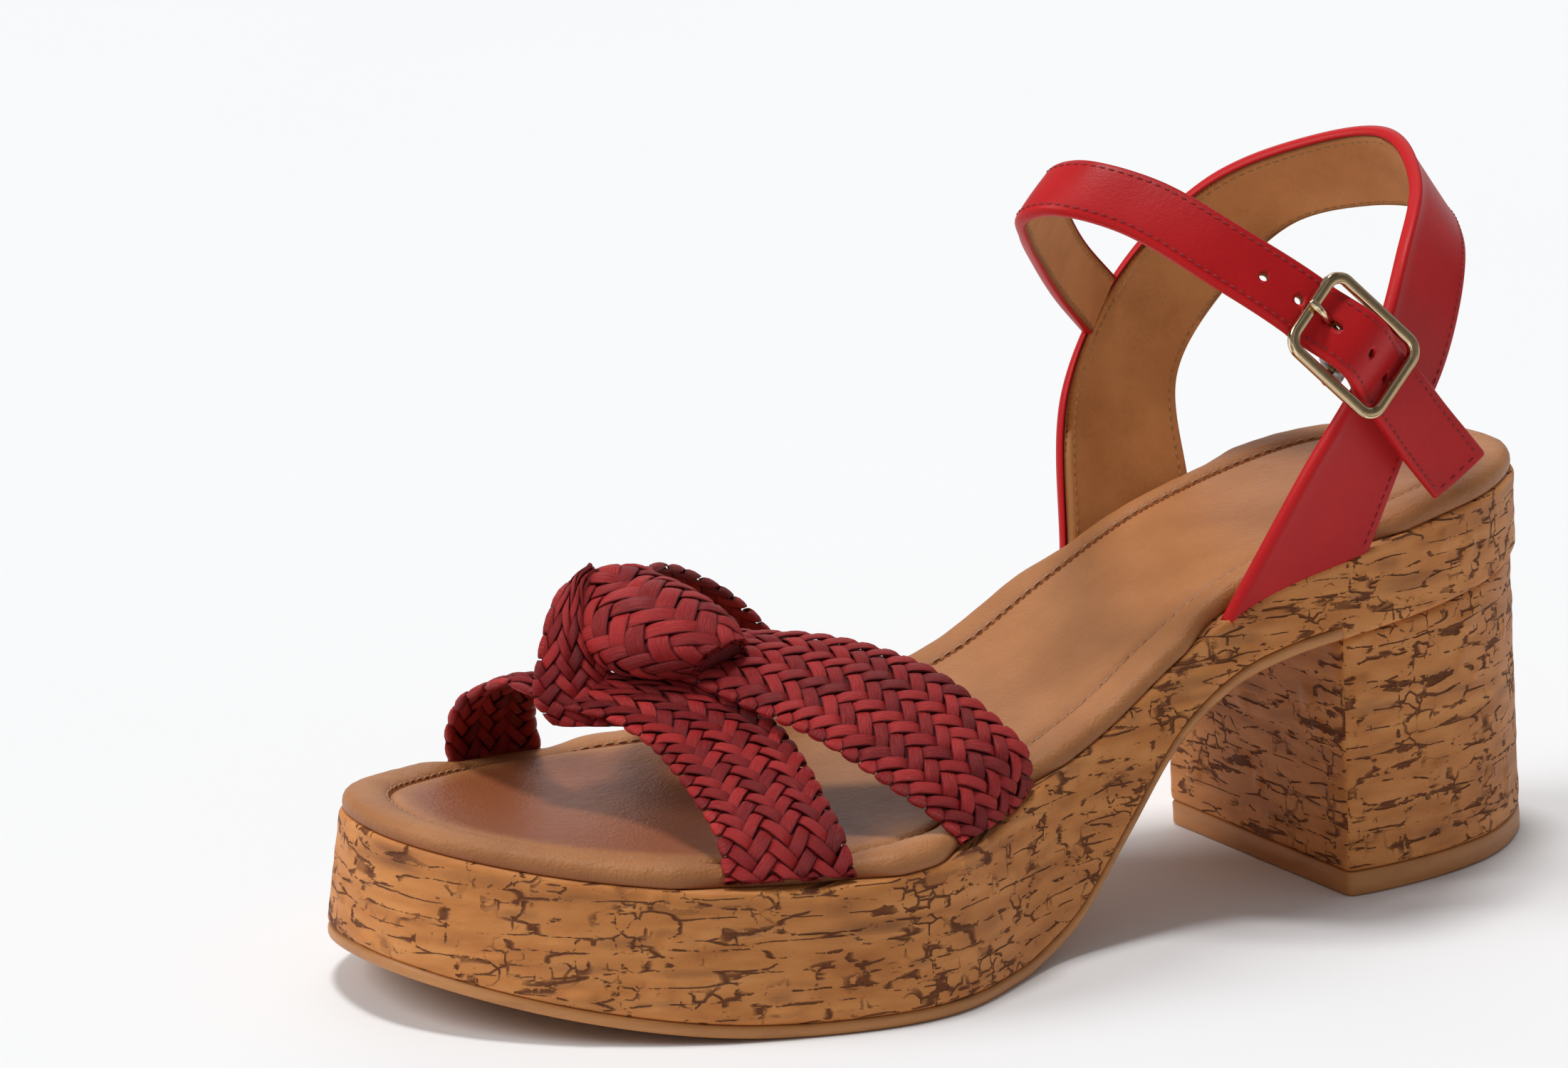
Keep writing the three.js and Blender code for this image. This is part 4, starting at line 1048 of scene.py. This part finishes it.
class AnkleBand(Band):
    def __init__(self):
        joined = [(*byHeel([p])[0], *lean) for p, lean in ankleRows]
        line, leans = denseCurve([row[:3] for row in joined]), denseCurve([row[3:] for row in joined])
        self.dense = np.concatenate([line, leans], 1)
        self.run = runAlong(line)
        self.length = float(self.run[-1])
        self.crown = 0.25
        self.centre = buckleSet["at"]
        self.near = buckleSet["reach"] / self.length
        self.bars = [self.middle(self.centre + k * self.near)[:3] for k in (-1, 1)]
        along = self.bars[1] - self.bars[0]
        self.along = along / np.linalg.norm(along)
        out = np.cross(self.along, self.middle(self.centre)[3:])
        out /= np.linalg.norm(out)
        self.out = out if out[0] > 0 else -out
        self.wide = np.cross(self.out, self.along)
        gore = buckleSet["gore"]
        self.stack = strapSet["leather"] + buckleSet["slack"] + strapSet["lining"]
        self.barLift = self.stack / 2 + buckleSet["run"] + buckleSet["bar"]
        self.loop = buckleSet["centreBar"] + buckleSet["run"] + gore / 2
        self.hump = (-buckleSet["drop"] + self.loop + gore / 2 + buckleSet["slack"] + self.stack / 2
                     + self.barLift)
        self.middlePoint = (self.bars[0] + self.bars[1]) / 2 + self.out * self.barLift
        self.face(0.9, (1, 0, 0))

    def middle(self, s):
        return spaced(self.dense, np.asarray(s, float), self.run)

    def flat(self, s, w):
        s, w = np.asarray(s, float), np.asarray(w, float)
        both = self.middle(s)
        centreLine, lean = both[..., :3], both[..., 3:]
        lean = lean / np.linalg.norm(lean, axis=-1, keepdims=True)
        at = (s - self.centre) / self.near
        inside = np.abs(at) < 1
        share = (0.5 + at / 2)[..., None]
        straight = self.bars[0] * (1 - share) + self.bars[1] * share
        rise = self.hump * np.cos(np.clip(at, -1, 1) * np.pi / 2) ** 2
        straight = straight + self.out * rise[..., None]
        centreLine = np.where(inside[..., None], straight, centreLine)
        return centreLine + lean * (strapSet["width"] * (w - 0.5))[..., None]

    def inBuckle(self, along, wide, out):
        return self.middlePoint + self.along * along + self.wide * wide + self.out * out


def punchHoles(piece, cutters):
    for cutter in cutters:
        tool = piece.modifiers.new("hole", "BOOLEAN")
        tool.object = cutter
        tool.operation = "DIFFERENCE"
        tool.solver = "EXACT"
    depsgraph = bpy.context.evaluated_depsgraph_get()
    done = bpy.data.meshes.new_from_object(piece.evaluated_get(depsgraph))
    piece.modifiers.clear()
    old = piece.data
    piece.data = done
    bpy.data.meshes.remove(old)


# Holes are counted from the one with the pin through it, and that one is pulled long.
holeSet = {"first": 6, "pitch": 7.8, "radius": 0.95, "sides": 20, "depth": 5,
           "long": {-2: 0.95, -1: 0.95, 0: 2.6, 1: 0.95, 2: 0.95}}
# where the strap is sewn to the sandal, and where it has come free to follow the loop
sewn, free = (-40.9, 192, 104), (-33, 192, 104)


def makePunches(band):
    punches = []
    half = np.array([0.5])
    for k, long in holeSet["long"].items():
        s = np.array([band.centre - holeSet["first"] / band.length + k * holeSet["pitch"] / band.length])
        out, middle = band.normal(s, half)[0], band.at(s, half)[0]
        along = (band.middle(s + 0.004) - band.middle(s - 0.004))[0][:3]
        along /= np.linalg.norm(along)
        wide = np.cross(out, along)
        ring = []
        for level in (-holeSet["depth"], holeSet["depth"]):
            for j in range(holeSet["sides"]):
                a = j * 2 * math.pi / holeSet["sides"]
                ring.append(middle + along * long * math.cos(a)
                            + wide * holeSet["radius"] * math.sin(a) + out * level)
        punches.append(meshPiece("punch", ring, tubeFaces(2, holeSet["sides"]), "red"))
    return punches


def makeAnkleStrap():
    band = AnkleBand()
    seam = 1.2 / band.length
    start, end = band.centre - band.near, band.centre + band.near
    rows = np.concatenate([np.linspace(seam, start, 150, endpoint=False),
                           np.linspace(start, end, 60, endpoint=False), np.linspace(end, 1, 50)])
    high, wrap = band.stack / 2, strapSet["lining"] + 0.07
    under = high - strapSet["leather"]
    outerRing = layerRing(9, under, high, wraps=(wrap, wrap))
    outer = leatherLayer("ankle_strap_leather", band, rows, outerRing, "red", edgeReach=0.06)
    innerRing = layerRing(7, under - strapSet["lining"] - 0.02, under - 0.02)
    inner = leatherLayer("ankle_strap_lining_leather", band, rows, innerRing, "lining", (0.05, 0.95))
    punches = makePunches(band)
    for piece in (outer, inner):
        punchHoles(piece, punches)
    for punch in punches:
        bpy.data.objects.remove(punch)
    bending(outer, sewn, free, "red_leather", "ankle_strap")
    bending(inner, sewn, free, "tan_lining", "ankle_strap_lining")
    run = np.linspace(seam + 0.006, 1 - 0.012, 620)
    inside = under - strapSet["lining"] - 0.02
    for name, w, height, paint, flip in (
            ("strap_seam_low", 0.115, high, "redThread", 1),
            ("strap_seam_high", 0.885, high, "redThread", 1),
            ("strap_lining_seam_low", 0.14, inside, "tanThread", -1),
            ("strap_lining_seam_high", 0.86, inside, "tanThread", -1)):
        thread = seamAlong(name, band, run, w, height, paint, flip=flip)
        bending(thread, sewn, free, "red_leather" if flip > 0 else "tan_lining")
    tipW = np.linspace(0.14, 0.86, 30)
    tipS = np.full(30, 1 - 1.5 / band.length)
    ups = band.normal(tipS, tipW)
    tip = stitches("strap_seam_tip", band.at(tipS, tipW) + ups * high, ups, "redThread", 2.2, 1.6, 0.2)
    standing("ankle_loop", tip, "red_leather")
    return band


ankle = makeAnkleStrap()
print("stage: leather straps made")


# The buckle and the elastic that holds it.
def sweep(path, sides, ups, ring):
    points = []
    for spot, side, up in zip(path, sides, ups):
        points += [spot + side * a + up * b for a, b in ring]
    return points


# points round a rectangle with round corners, each with the corner's cosine and sine
def roundedCorners(halfWide, halfHigh, corner, steps):
    points = []
    for quarter, (sx, sy) in enumerate(((1, 1), (-1, 1), (-1, -1), (1, -1))):
        for k in range(steps + 1):
            a = (quarter + k / steps) * math.pi / 2
            points.append((sx * (halfWide - corner) + corner * math.cos(a),
                           sy * (halfHigh - corner) + corner * math.sin(a), math.cos(a), math.sin(a)))
    return points


def ellipse(halfWide, halfHigh, sides):
    turns = [k * 2 * math.pi / sides for k in range(sides)]
    return [(halfWide * math.cos(t), halfHigh * math.sin(t)) for t in turns]


# a dense line through flat points, with the direction at each
def flatCurve(places, per):
    dense = denseCurve([(a, b, 0) for a, b in places], per)
    steps = np.gradient(dense, axis=0)
    steps /= np.linalg.norm(steps, axis=1, keepdims=True)
    return dense[:, :2], steps[:, :2]


def makeBuckle():
    reach, drop = buckleSet["reach"], buckleSet["drop"]
    half = strapSet["width"] / 2 + buckleSet["side"]
    ring = [(a, b) for a, b, _, _ in roundedCorners(*buckleSet["rim"], 4)]
    corners = roundedCorners(reach, half, buckleSet["corner"], 12)
    path = [ankle.inBuckle(a, b, 0) for a, b, _, _ in corners]
    sides = [ankle.along * c + ankle.wide * s for _, _, c, s in corners]
    rim = meshPiece("buckle_rim", sweep(path, sides, [ankle.out] * len(path), ring),
                    gridFaces(len(path), len(ring), closeRows=True, closeColumns=True), "gold")
    standing("buckle", rim, "buckle_metal", "buckle_frame")

    barPath = [(-half, 0.0), (-half - 0.1, -1.0), (-half + 0.5, -2.0), (-half + 1.6, -drop), (0, -drop),
               (half - 1.6, -drop), (half - 0.5, -2.0), (half + 0.1, -1.0), (half, 0.0)]
    line, steps = flatCurve(barPath, 8)
    spots = [ankle.inBuckle(0, a, b) for a, b in line]
    ups = [ankle.out * c - ankle.wide * s for c, s in steps]
    ring = ellipse(buckleSet["centreBar"], buckleSet["centreBar"], 14)
    bar = meshPiece("buckle_bar", sweep(spots, [ankle.along] * len(spots), ups, ring),
                    tubeFaces(len(spots), len(ring)), "gold")
    standing("buckle", bar, "buckle_metal")

    # the pin starts as an eye round the bar, runs out over the strap and thins at its tip
    eye = buckleSet["centreBar"] + buckleSet["slack"] + buckleSet["prong"]
    places = [(eye * math.cos(t), -drop + eye * math.sin(t)) for t in np.radians(np.linspace(60, -215, 16))]
    places += [(-3.2, -1.75), (-4.6, -1.2), (-6.4, -0.35), (-8.4, 0.7), (-10.4, 1.6), (-reach, 1.95),
               (-reach - 1.2, 1.85), (-reach - 1.9, 1.6)]
    line, steps = flatCurve(places, 4)
    last = len(line) - 1
    sizes = np.interp(np.arange(len(line)), [0, last - 8, last - 2, last], [1.0, 1.0, 0.75, 0.3])
    ring = ellipse(*buckleSet["pin"], 12)
    points = []
    for (a, b), (c, s), size in zip(line, steps, sizes):
        spot, up = ankle.inBuckle(a, 0, b), ankle.out * c - ankle.along * s
        points += [spot + (ankle.wide * x + up * y) * size for x, y in ring]
    prong = meshPiece("buckle_pin", points, tubeFaces(len(line), len(ring)), "gold")
    standing("prong", prong, "buckle_metal", "buckle_prong")


# The elastic loops round the bar and runs to the sling: where along the sling it is sewn, how far
# it goes under, its ribs (pitch and height), its thin edge and its woven stripe (place and width).
goreSet = {"sewnAt": 0.253, "under": 2.0, "ribPitch": 0.9, "rib": 0.08, "thinEdge": 0.35,
           "stripe": (0.16, 0.05)}


def makeGore():
    seam = sling.flat(np.array([goreSet["sewnAt"]]), np.array([0.0]))[0]
    bar = ankle.inBuckle(0, 0, -buckleSet["drop"])
    along = seam - bar
    along = along - ankle.wide * along.dot(ankle.wide)
    long = float(np.linalg.norm(along)) + goreSet["under"]
    along /= np.linalg.norm(along)
    out = np.cross(ankle.wide, along)
    if out.dot(ankle.out) < 0:
        out = -out
    loop, thick = ankle.loop, buckleSet["gore"] / 2 - 0.05
    line = [(loop * math.cos(a), loop * math.sin(a), a) for a in np.radians(np.linspace(-380, -90, 40))]
    line = [(a, b, math.cos(t), math.sin(t)) for a, b, t in line]
    line += [(k, -loop, 0.0, -1.0) for k in np.linspace(0.4, long, 14)]
    wide = buckleSet["goreWide"]
    points, stripe, uvs = [], [], []
    across = np.linspace(-0.5, 0.5, 25)
    ring = [(w, 1) for w in across] + [(w, -1) for w in across[::-1]]
    run = 0.0
    for k, (a, b, na, nb) in enumerate(line):
        if k:
            run += math.hypot(a - line[k - 1][0], b - line[k - 1][1])
        for w, sign in ring:
            edge = goreSet["thinEdge"] if abs(w) > 0.49 else 1
            rib = goreSet["rib"] * math.cos(w * wide * 2 * math.pi / goreSet["ribPitch"])
            reach = sign * (thick * edge + rib * edge)
            points.append(bar + along * (a + na * reach) + out * (b + nb * reach)
                          + ankle.wide * wide * w)
            stripe.append(math.exp(-((w - goreSet["stripe"][0]) / goreSet["stripe"][1]) ** 2))
            uvs.append((w * wide, run))
    gore = meshPiece("elastic_band", points, tubeFaces(len(line), len(ring)), "elastic",
                     {"stripe": stripe}, uvs)
    bending(gore, seam, seam * 0.45 + bar * 0.55, "elastic", "elastic_gore")


makeBuckle()
makeGore()
print("stage: buckle made")


# Plaited straps: flat strips that run slantwise, over two and under two, and fold at the edges.
plaitSet = {"lift": 0.75, "thick": 0.62, "crown": 0.08, "fill": 0.94, "perColumn": 6, "steep": 1.9,
            "fold": (22, 45, 68, 88), "across": (-1, -0.84, -0.3, 0.3, 0.84, 1)}


def over(x):
    return np.tanh(plaitSet["steep"] * np.cos(np.pi / 2 * (x + 0.5))) / math.tanh(plaitSet["steep"])


# surface(s, w) gives point, normal and across; long is the strap's length and jagged how far the
# strips' ends may stop short
def plait(name, surface, long, columns, pitch, widthAt, seed, lift=plaitSet["lift"], jagged=0.9):
    dice = random.Random(seed)
    sFine = np.linspace(0, 1, 400)
    meanWide = float(np.mean(widthAt(sFine)))
    rate = (widthAt(sFine) / meanWide) ** 0.8 * long / pitch
    sigma = np.concatenate([[0], np.cumsum((rate[1:] + rate[:-1]) / 2 * np.diff(sFine))])
    total = sigma[-1]
    across, fold = np.array(plaitSet["across"]), np.radians(plaitSet["fold"])
    ringAcross = np.concatenate([across, across[::-1]])
    ringLevel = np.repeat([1, -1], len(across))
    steps = int(columns * plaitSet["perColumn"]) + 1
    colRow = np.concatenate([np.zeros(4), np.linspace(0, columns, steps), np.full(4, columns)])
    arcRow = np.concatenate([fold[::-1], np.zeros(steps), fold])
    sideRow = np.concatenate([-np.ones(4), np.zeros(steps), np.ones(4)])
    allAcross, allRows = np.meshgrid(ringAcross, np.arange(len(colRow)))
    allLevels = np.tile(ringLevel, (len(colRow), 1))
    points, faces, tones, edges, uvs = [], [], [], [], []
    start = 0
    for kind in (1, -1):
        for k in range(int(-columns if kind > 0 else 0), int(total if kind > 0 else total + columns) + 1):
            shift = dice.uniform(-0.05, 0.05)
            high, tone = dice.uniform(-0.07, 0.07), dice.random()
            lowEnd = dice.uniform(0, jagged) / pitch
            highEnd = total - dice.uniform(0, jagged) / pitch
            wobble = dice.uniform(0, 6.28)
            width = plaitSet["fill"] * dice.uniform(0.94, 1.04)
            col = colRow[allRows]
            centreSigma = k + kind * col + shift + 0.04 * np.sin(col * 1.7 + wobble)
            sig = centreSigma + allAcross * 0.5 * width
            rowsIn = np.where(((sig > lowEnd) & (sig < highEnd)).any(1))[0]
            if len(rowsIn) < 3:
                continue
            pick = slice(max(0, rowsIn[0] - 1), min(len(colRow) - 1, rowsIn[-1] + 1) + 1)
            sig, col, at = np.clip(sig, lowEnd, highEnd)[pick], col[pick], allRows[pick]
            c, level = allAcross[pick], allLevels[pick]
            z = kind * (lift + high) * over(2 * col + kind * c * 0.5)
            a, side = arcRow[at], sideRow[at]
            aside = side * lift * np.sin(a) * (1 - 0.3 * c ** 2) * 1.15
            above = z * np.cos(a) - plaitSet["crown"] * c ** 2 * np.sign(z)
            thin = level * plaitSet["thick"] / 2 * (1 - 0.6 * c ** 6)
            tilt = np.sin(a) * np.sign(z) * side
            p, n, x = surface(np.interp(sig, sigma, sFine).ravel(), (col / columns).ravel())
            points.append(p + n * (above + np.cos(a) * thin).ravel()[:, None]
                          + x * (aside + tilt * thin).ravel()[:, None])
            rows, cols = sig.shape
            faces += [[v + start for v in f] for f in tubeFaces(rows, cols)]
            start += rows * cols
            tones.append(np.full(rows * cols, tone))
            # stripEdge is how far across the strip, darkened at the edges as painted shade
            edges.append(np.abs(c).ravel())
            uvs.append(np.column_stack([(col * pitch * 1.4).ravel() + k * 17,
                                        (c * pitch * 0.35).ravel()]))
    return meshPiece(name, np.concatenate(points), faces, "woven",
                     {"stripTone": np.concatenate(tones), "stripEdge": np.concatenate(edges)},
                     np.concatenate(uvs))


def bandPlait(name, band, columns, pitch, seed, **shape):
    def surface(s, w):
        return band.at(s, w), band.normal(s, w), band.across(s)

    def widthAt(s):
        return np.linalg.norm(band.flat(s, np.ones_like(s)) - band.flat(s, np.zeros_like(s)), axis=-1)

    return plait(name, surface, band.length, columns, pitch, widthAt, seed, **shape)


wovenSet = {"inset": 1.9, "lift": 0.9}


def wovenBand(rows, outerFoot, innerFoot, crown):
    band = footedBand(list(zip(*rows)), outerFoot, innerFoot, wovenSet["inset"], wovenSet["lift"], crown)
    band.face(0.4, (0, 0, 1))
    return band


# Free points of each strap's two edges, from the outer side to the inner.
rearRows = [[(52, 92.5, 36), (43, 117, 43.5)], [(48.5, 86.5, 41.2), (37, 113, 49.5)],
            [(41, 81, 46.5), (29, 108, 55.5)], [(33.5, 76, 50.7), (20, 102, 59)],
            [(25, 72.5, 52.7), (11, 93, 61.5)], [(13, 67.5, 55.6), (2, 83.5, 61.8)],
            [(2, 64, 58), (-6, 76.5, 61.8)], [(-9, 62.5, 61), (-13, 73.5, 65)],
            [(-20, 63.5, 64.5), (-20.5, 73.5, 70.5)], [(-28, 68, 63), (-25.5, 80, 69.5)],
            [(-35, 74, 57.5), (-29.5, 88, 66)], [(-40.5, 81, 50.5), (-32.5, 98, 60)],
            [(-43.5, 88, 42.5), (-35, 108, 51)]]
frontRows = [[(45.5, 48.6, 36.5), (53, 69.5, 36.5)], [(35, 50.3, 41.5), (43.5, 71.4, 41)],
             [(24, 51.5, 45.5), (33, 73.5, 45.5)], [(13, 52, 48.5), (20, 74, 50.5)],
             [(3, 50, 50.5), (7.5, 66, 55)], [(-5, 46.5, 51), (-3, 57.5, 56)],
             [(-13, 44, 52), (-11, 53, 54)], [(-22, 42.8, 52.5), (-20, 51, 52)],
             [(-31, 42, 49.5), (-30, 53, 48.5)], [(-38.5, 41.5, 45), (-38, 57, 42.5)],
             [(-43.5, 42, 38), (-44.5, 61, 36.5)]]


# a sheet in the darkest strip colour with fully dark edges: painted shade for the inside of a plait
def darkCore(name, points, s, w, sScale, wScale):
    rows, columns = s.shape
    piece = meshPiece(name, points, tubeFaces(rows, columns), "woven",
                      {"stripTone": np.zeros(s.size), "stripEdge": np.ones(s.size)},
                      np.column_stack([s.ravel() * sScale, w.ravel() * wScale]))
    standing("sandal", piece, "woven_leather")


# a thin sheet between the upper and lower strips, so no light comes through the plait; it is painted dark
# as the shade seen through the gaps
def coreSheet(name, band):
    places = [0.05, 0.3, 0.5, 0.7, 0.95, 0.7, 0.5, 0.3]
    s, w = np.meshgrid(np.linspace(0.015, 0.985, 60), places, indexing="ij")
    height = np.tile([0, 0.08, 0.08, 0.08, 0, -0.08, -0.08, -0.08], 60)
    points = band.at(s.ravel(), w.ravel()) + band.normal(s.ravel(), w.ravel()) * height[:, None]
    darkCore(name, points, s, w, 60, 20)


def makeWoven():
    rear = wovenBand(rearRows, wovenFeet["rearOuter"], wovenFeet["rearInner"], 1.6)
    piece = bandPlait("rear_plait", rear, 7, 4.9, 31)
    standing("sandal", piece, "woven_leather", "woven_strap_rear")
    coreSheet("rear_core", rear)
    front = wovenBand(frontRows, wovenFeet["frontOuter"], wovenFeet["frontInner"], 1.2)
    piece = bandPlait("front_plait", front, 6, 5.1, 32)
    standing("sandal", piece, "woven_leather", "woven_strap_front")
    coreSheet("front_core", front)


# The knot's lobe is a flattened tube that tapers at both ends: centre, across, half width and half
# height at each station.
lobeRows = [((-21, 59.5, 69.2), (0.1, 0.86, 0.30), 4.2, 2.8),
            ((-18, 61.5, 69.0), (0.1, 0.9, 0.32), 8.0, 4.2),
            ((-12, 61.8, 66.6), (0.05, 0.93, 0.32), 10.4, 5.2),
            ((-5, 62.2, 65.3), (0.0, 0.94, 0.33), 11.6, 5.6),
            ((1, 64, 63.6), (0.0, 0.94, 0.34), 11.4, 5.4),
            ((6, 67.2, 62.0), (0.02, 0.94, 0.34), 9.2, 4.6),
            ((10, 70.3, 60.6), (0.05, 0.94, 0.32), 5.6, 3.2)]
neckLeft = [(-21, 59.5, 71.5), (-19.5, 55, 71), (-15.5, 49, 68), (-13, 45.3, 62), (-12, 43.4, 56.5),
            (-10.8, 42.5, 51.5), (-8, 45, 47)]
neckRight = [(-17.5, 60.5, 71.5), (-15, 56, 69.5), (-10.5, 53.6, 65), (-7.2, 53.4, 60.5),
             (-4.6, 54.8, 56), (-1.5, 56.5, 51), (2, 58, 47)]


def makeKnot():
    dense = denseCurve([(*c, *x, a, b) for c, x, a, b in lobeRows])
    run = runAlong(dense[:, :3])

    def read(s):
        both = spaced(dense, s, run)
        x = both[..., 3:6] / np.linalg.norm(both[..., 3:6], axis=-1, keepdims=True)
        nearby = spaced(dense, np.minimum(1, s + 0.02), run) - spaced(dense, np.maximum(0, s - 0.02), run)
        along = nearby[..., :3] / np.linalg.norm(nearby[..., :3], axis=-1, keepdims=True)
        up = np.cross(along, x)
        up /= np.linalg.norm(up, axis=-1, keepdims=True)
        return both[..., :3], x, up, both[..., 6:7], both[..., 7:8]

    def surface(s, w, shrink=0.0):
        c, x, up, a, b = read(s)
        phi = np.radians(222 - 264 * w)[..., None]
        a, b = a - shrink, b - shrink
        p = c + x * a * np.cos(phi) + up * b * np.sin(phi)
        n = x * np.cos(phi) / a + up * np.sin(phi) / b
        n /= np.linalg.norm(n, axis=-1, keepdims=True)
        t = -x * a * np.sin(phi) + up * b * np.cos(phi)
        t /= -np.linalg.norm(t, axis=-1, keepdims=True)
        return p, n, t

    def widthAt(s):
        _, _, _, a, b = read(s)
        return (2.3 * (a + b * 0.8))[..., 0]

    lobe = plait("knot_lobe", surface, float(run[-1]), 8, 4.7, widthAt, 41, lift=0.65, jagged=0.2)
    standing("sandal", lobe, "woven_leather", "knot_wrap")
    s, w = np.meshgrid(np.linspace(0, 1, 24), np.linspace(0, 1.36, 28, endpoint=False), indexing="ij")
    inside, _, _ = surface(s.ravel(), w.ravel(), 1.1)
    darkCore("knot_core", inside, s, w, 30, 10)
    neck = Band(neckLeft, neckRight, None, 2.4)
    neck.face(0.5, (0, -1, 0))
    fan = bandPlait("knot_neck", neck, 5, 4.6, 43, lift=0.65, jagged=0.2)
    standing("sandal", fan, "woven_leather")
    coreSheet("neck_core", neck)


makeWoven()
makeKnot()
print("stage: plaits made")


# hidden pieces keep their shape and get their finish
for node in ("shank", "heel_screw", "heel_nail_1", "heel_nail_2", "heel_nail_3", "heel_nail_4"):
    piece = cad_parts[node]
    piece.data.materials.clear()
    piece.data.materials.append(paints["steel"])


# floor, sky and light: each lamp has the spot it shines from, its power and its spread in degrees
stageSet = {"floor": 6.0, "squares": 24, "sky": 0.26,
            "lamps": {"overhead": ((-0.25, -0.1, 2.6), 1.6, 12), "side": ((-0.7, -1.7, 1.5), 1.55, 35),
                      "back": ((-1.4, 0.9, 1.0), 0.35, 45)}}


def makeStage():
    n = stageSet["squares"]
    half = stageSet["floor"]
    points = [((i / n - 0.5) * 2 * half * 1000, (j / n - 0.5) * 2 * half * 1000, -0.05)
              for i in range(n + 1) for j in range(n + 1)]
    paint = Paint("pale floor")
    cloud = paint.noise(paint.place(), 3, 2)
    colour = paint.ramp(cloud, [(0.3, (0.84, 0.845, 0.85)), (0.7, (0.85, 0.855, 0.86))])
    paints["floor"] = paint.finish(colour, 0.9)
    meshPiece("floor", points, gridFaces(n + 1, n + 1), "floor")
    world = bpy.data.worlds.new("studio")
    bpy.context.scene.world = world
    world.use_nodes = True
    sky = world.node_tree.nodes["Background"]
    sky.inputs[0].default_value = (0.97, 0.985, 1.0, 1)
    sky.inputs[1].default_value = stageSet["sky"]
    for name, (spot, power, spread) in stageSet["lamps"].items():
        light = bpy.data.lights.new(name, "SUN")
        light.energy, light.angle = power, math.radians(spread)
        lamp = bpy.data.objects.new(name, light)
        bpy.context.scene.collection.objects.link(lamp)
        lamp.rotation_mode = "QUATERNION"
        lamp.rotation_quaternion = (-Vector(spot)).to_track_quat("-Z", "Y")


makeStage()
bpy.context.scene.view_settings.view_transform = "Standard"
print("stage: floor and light set")
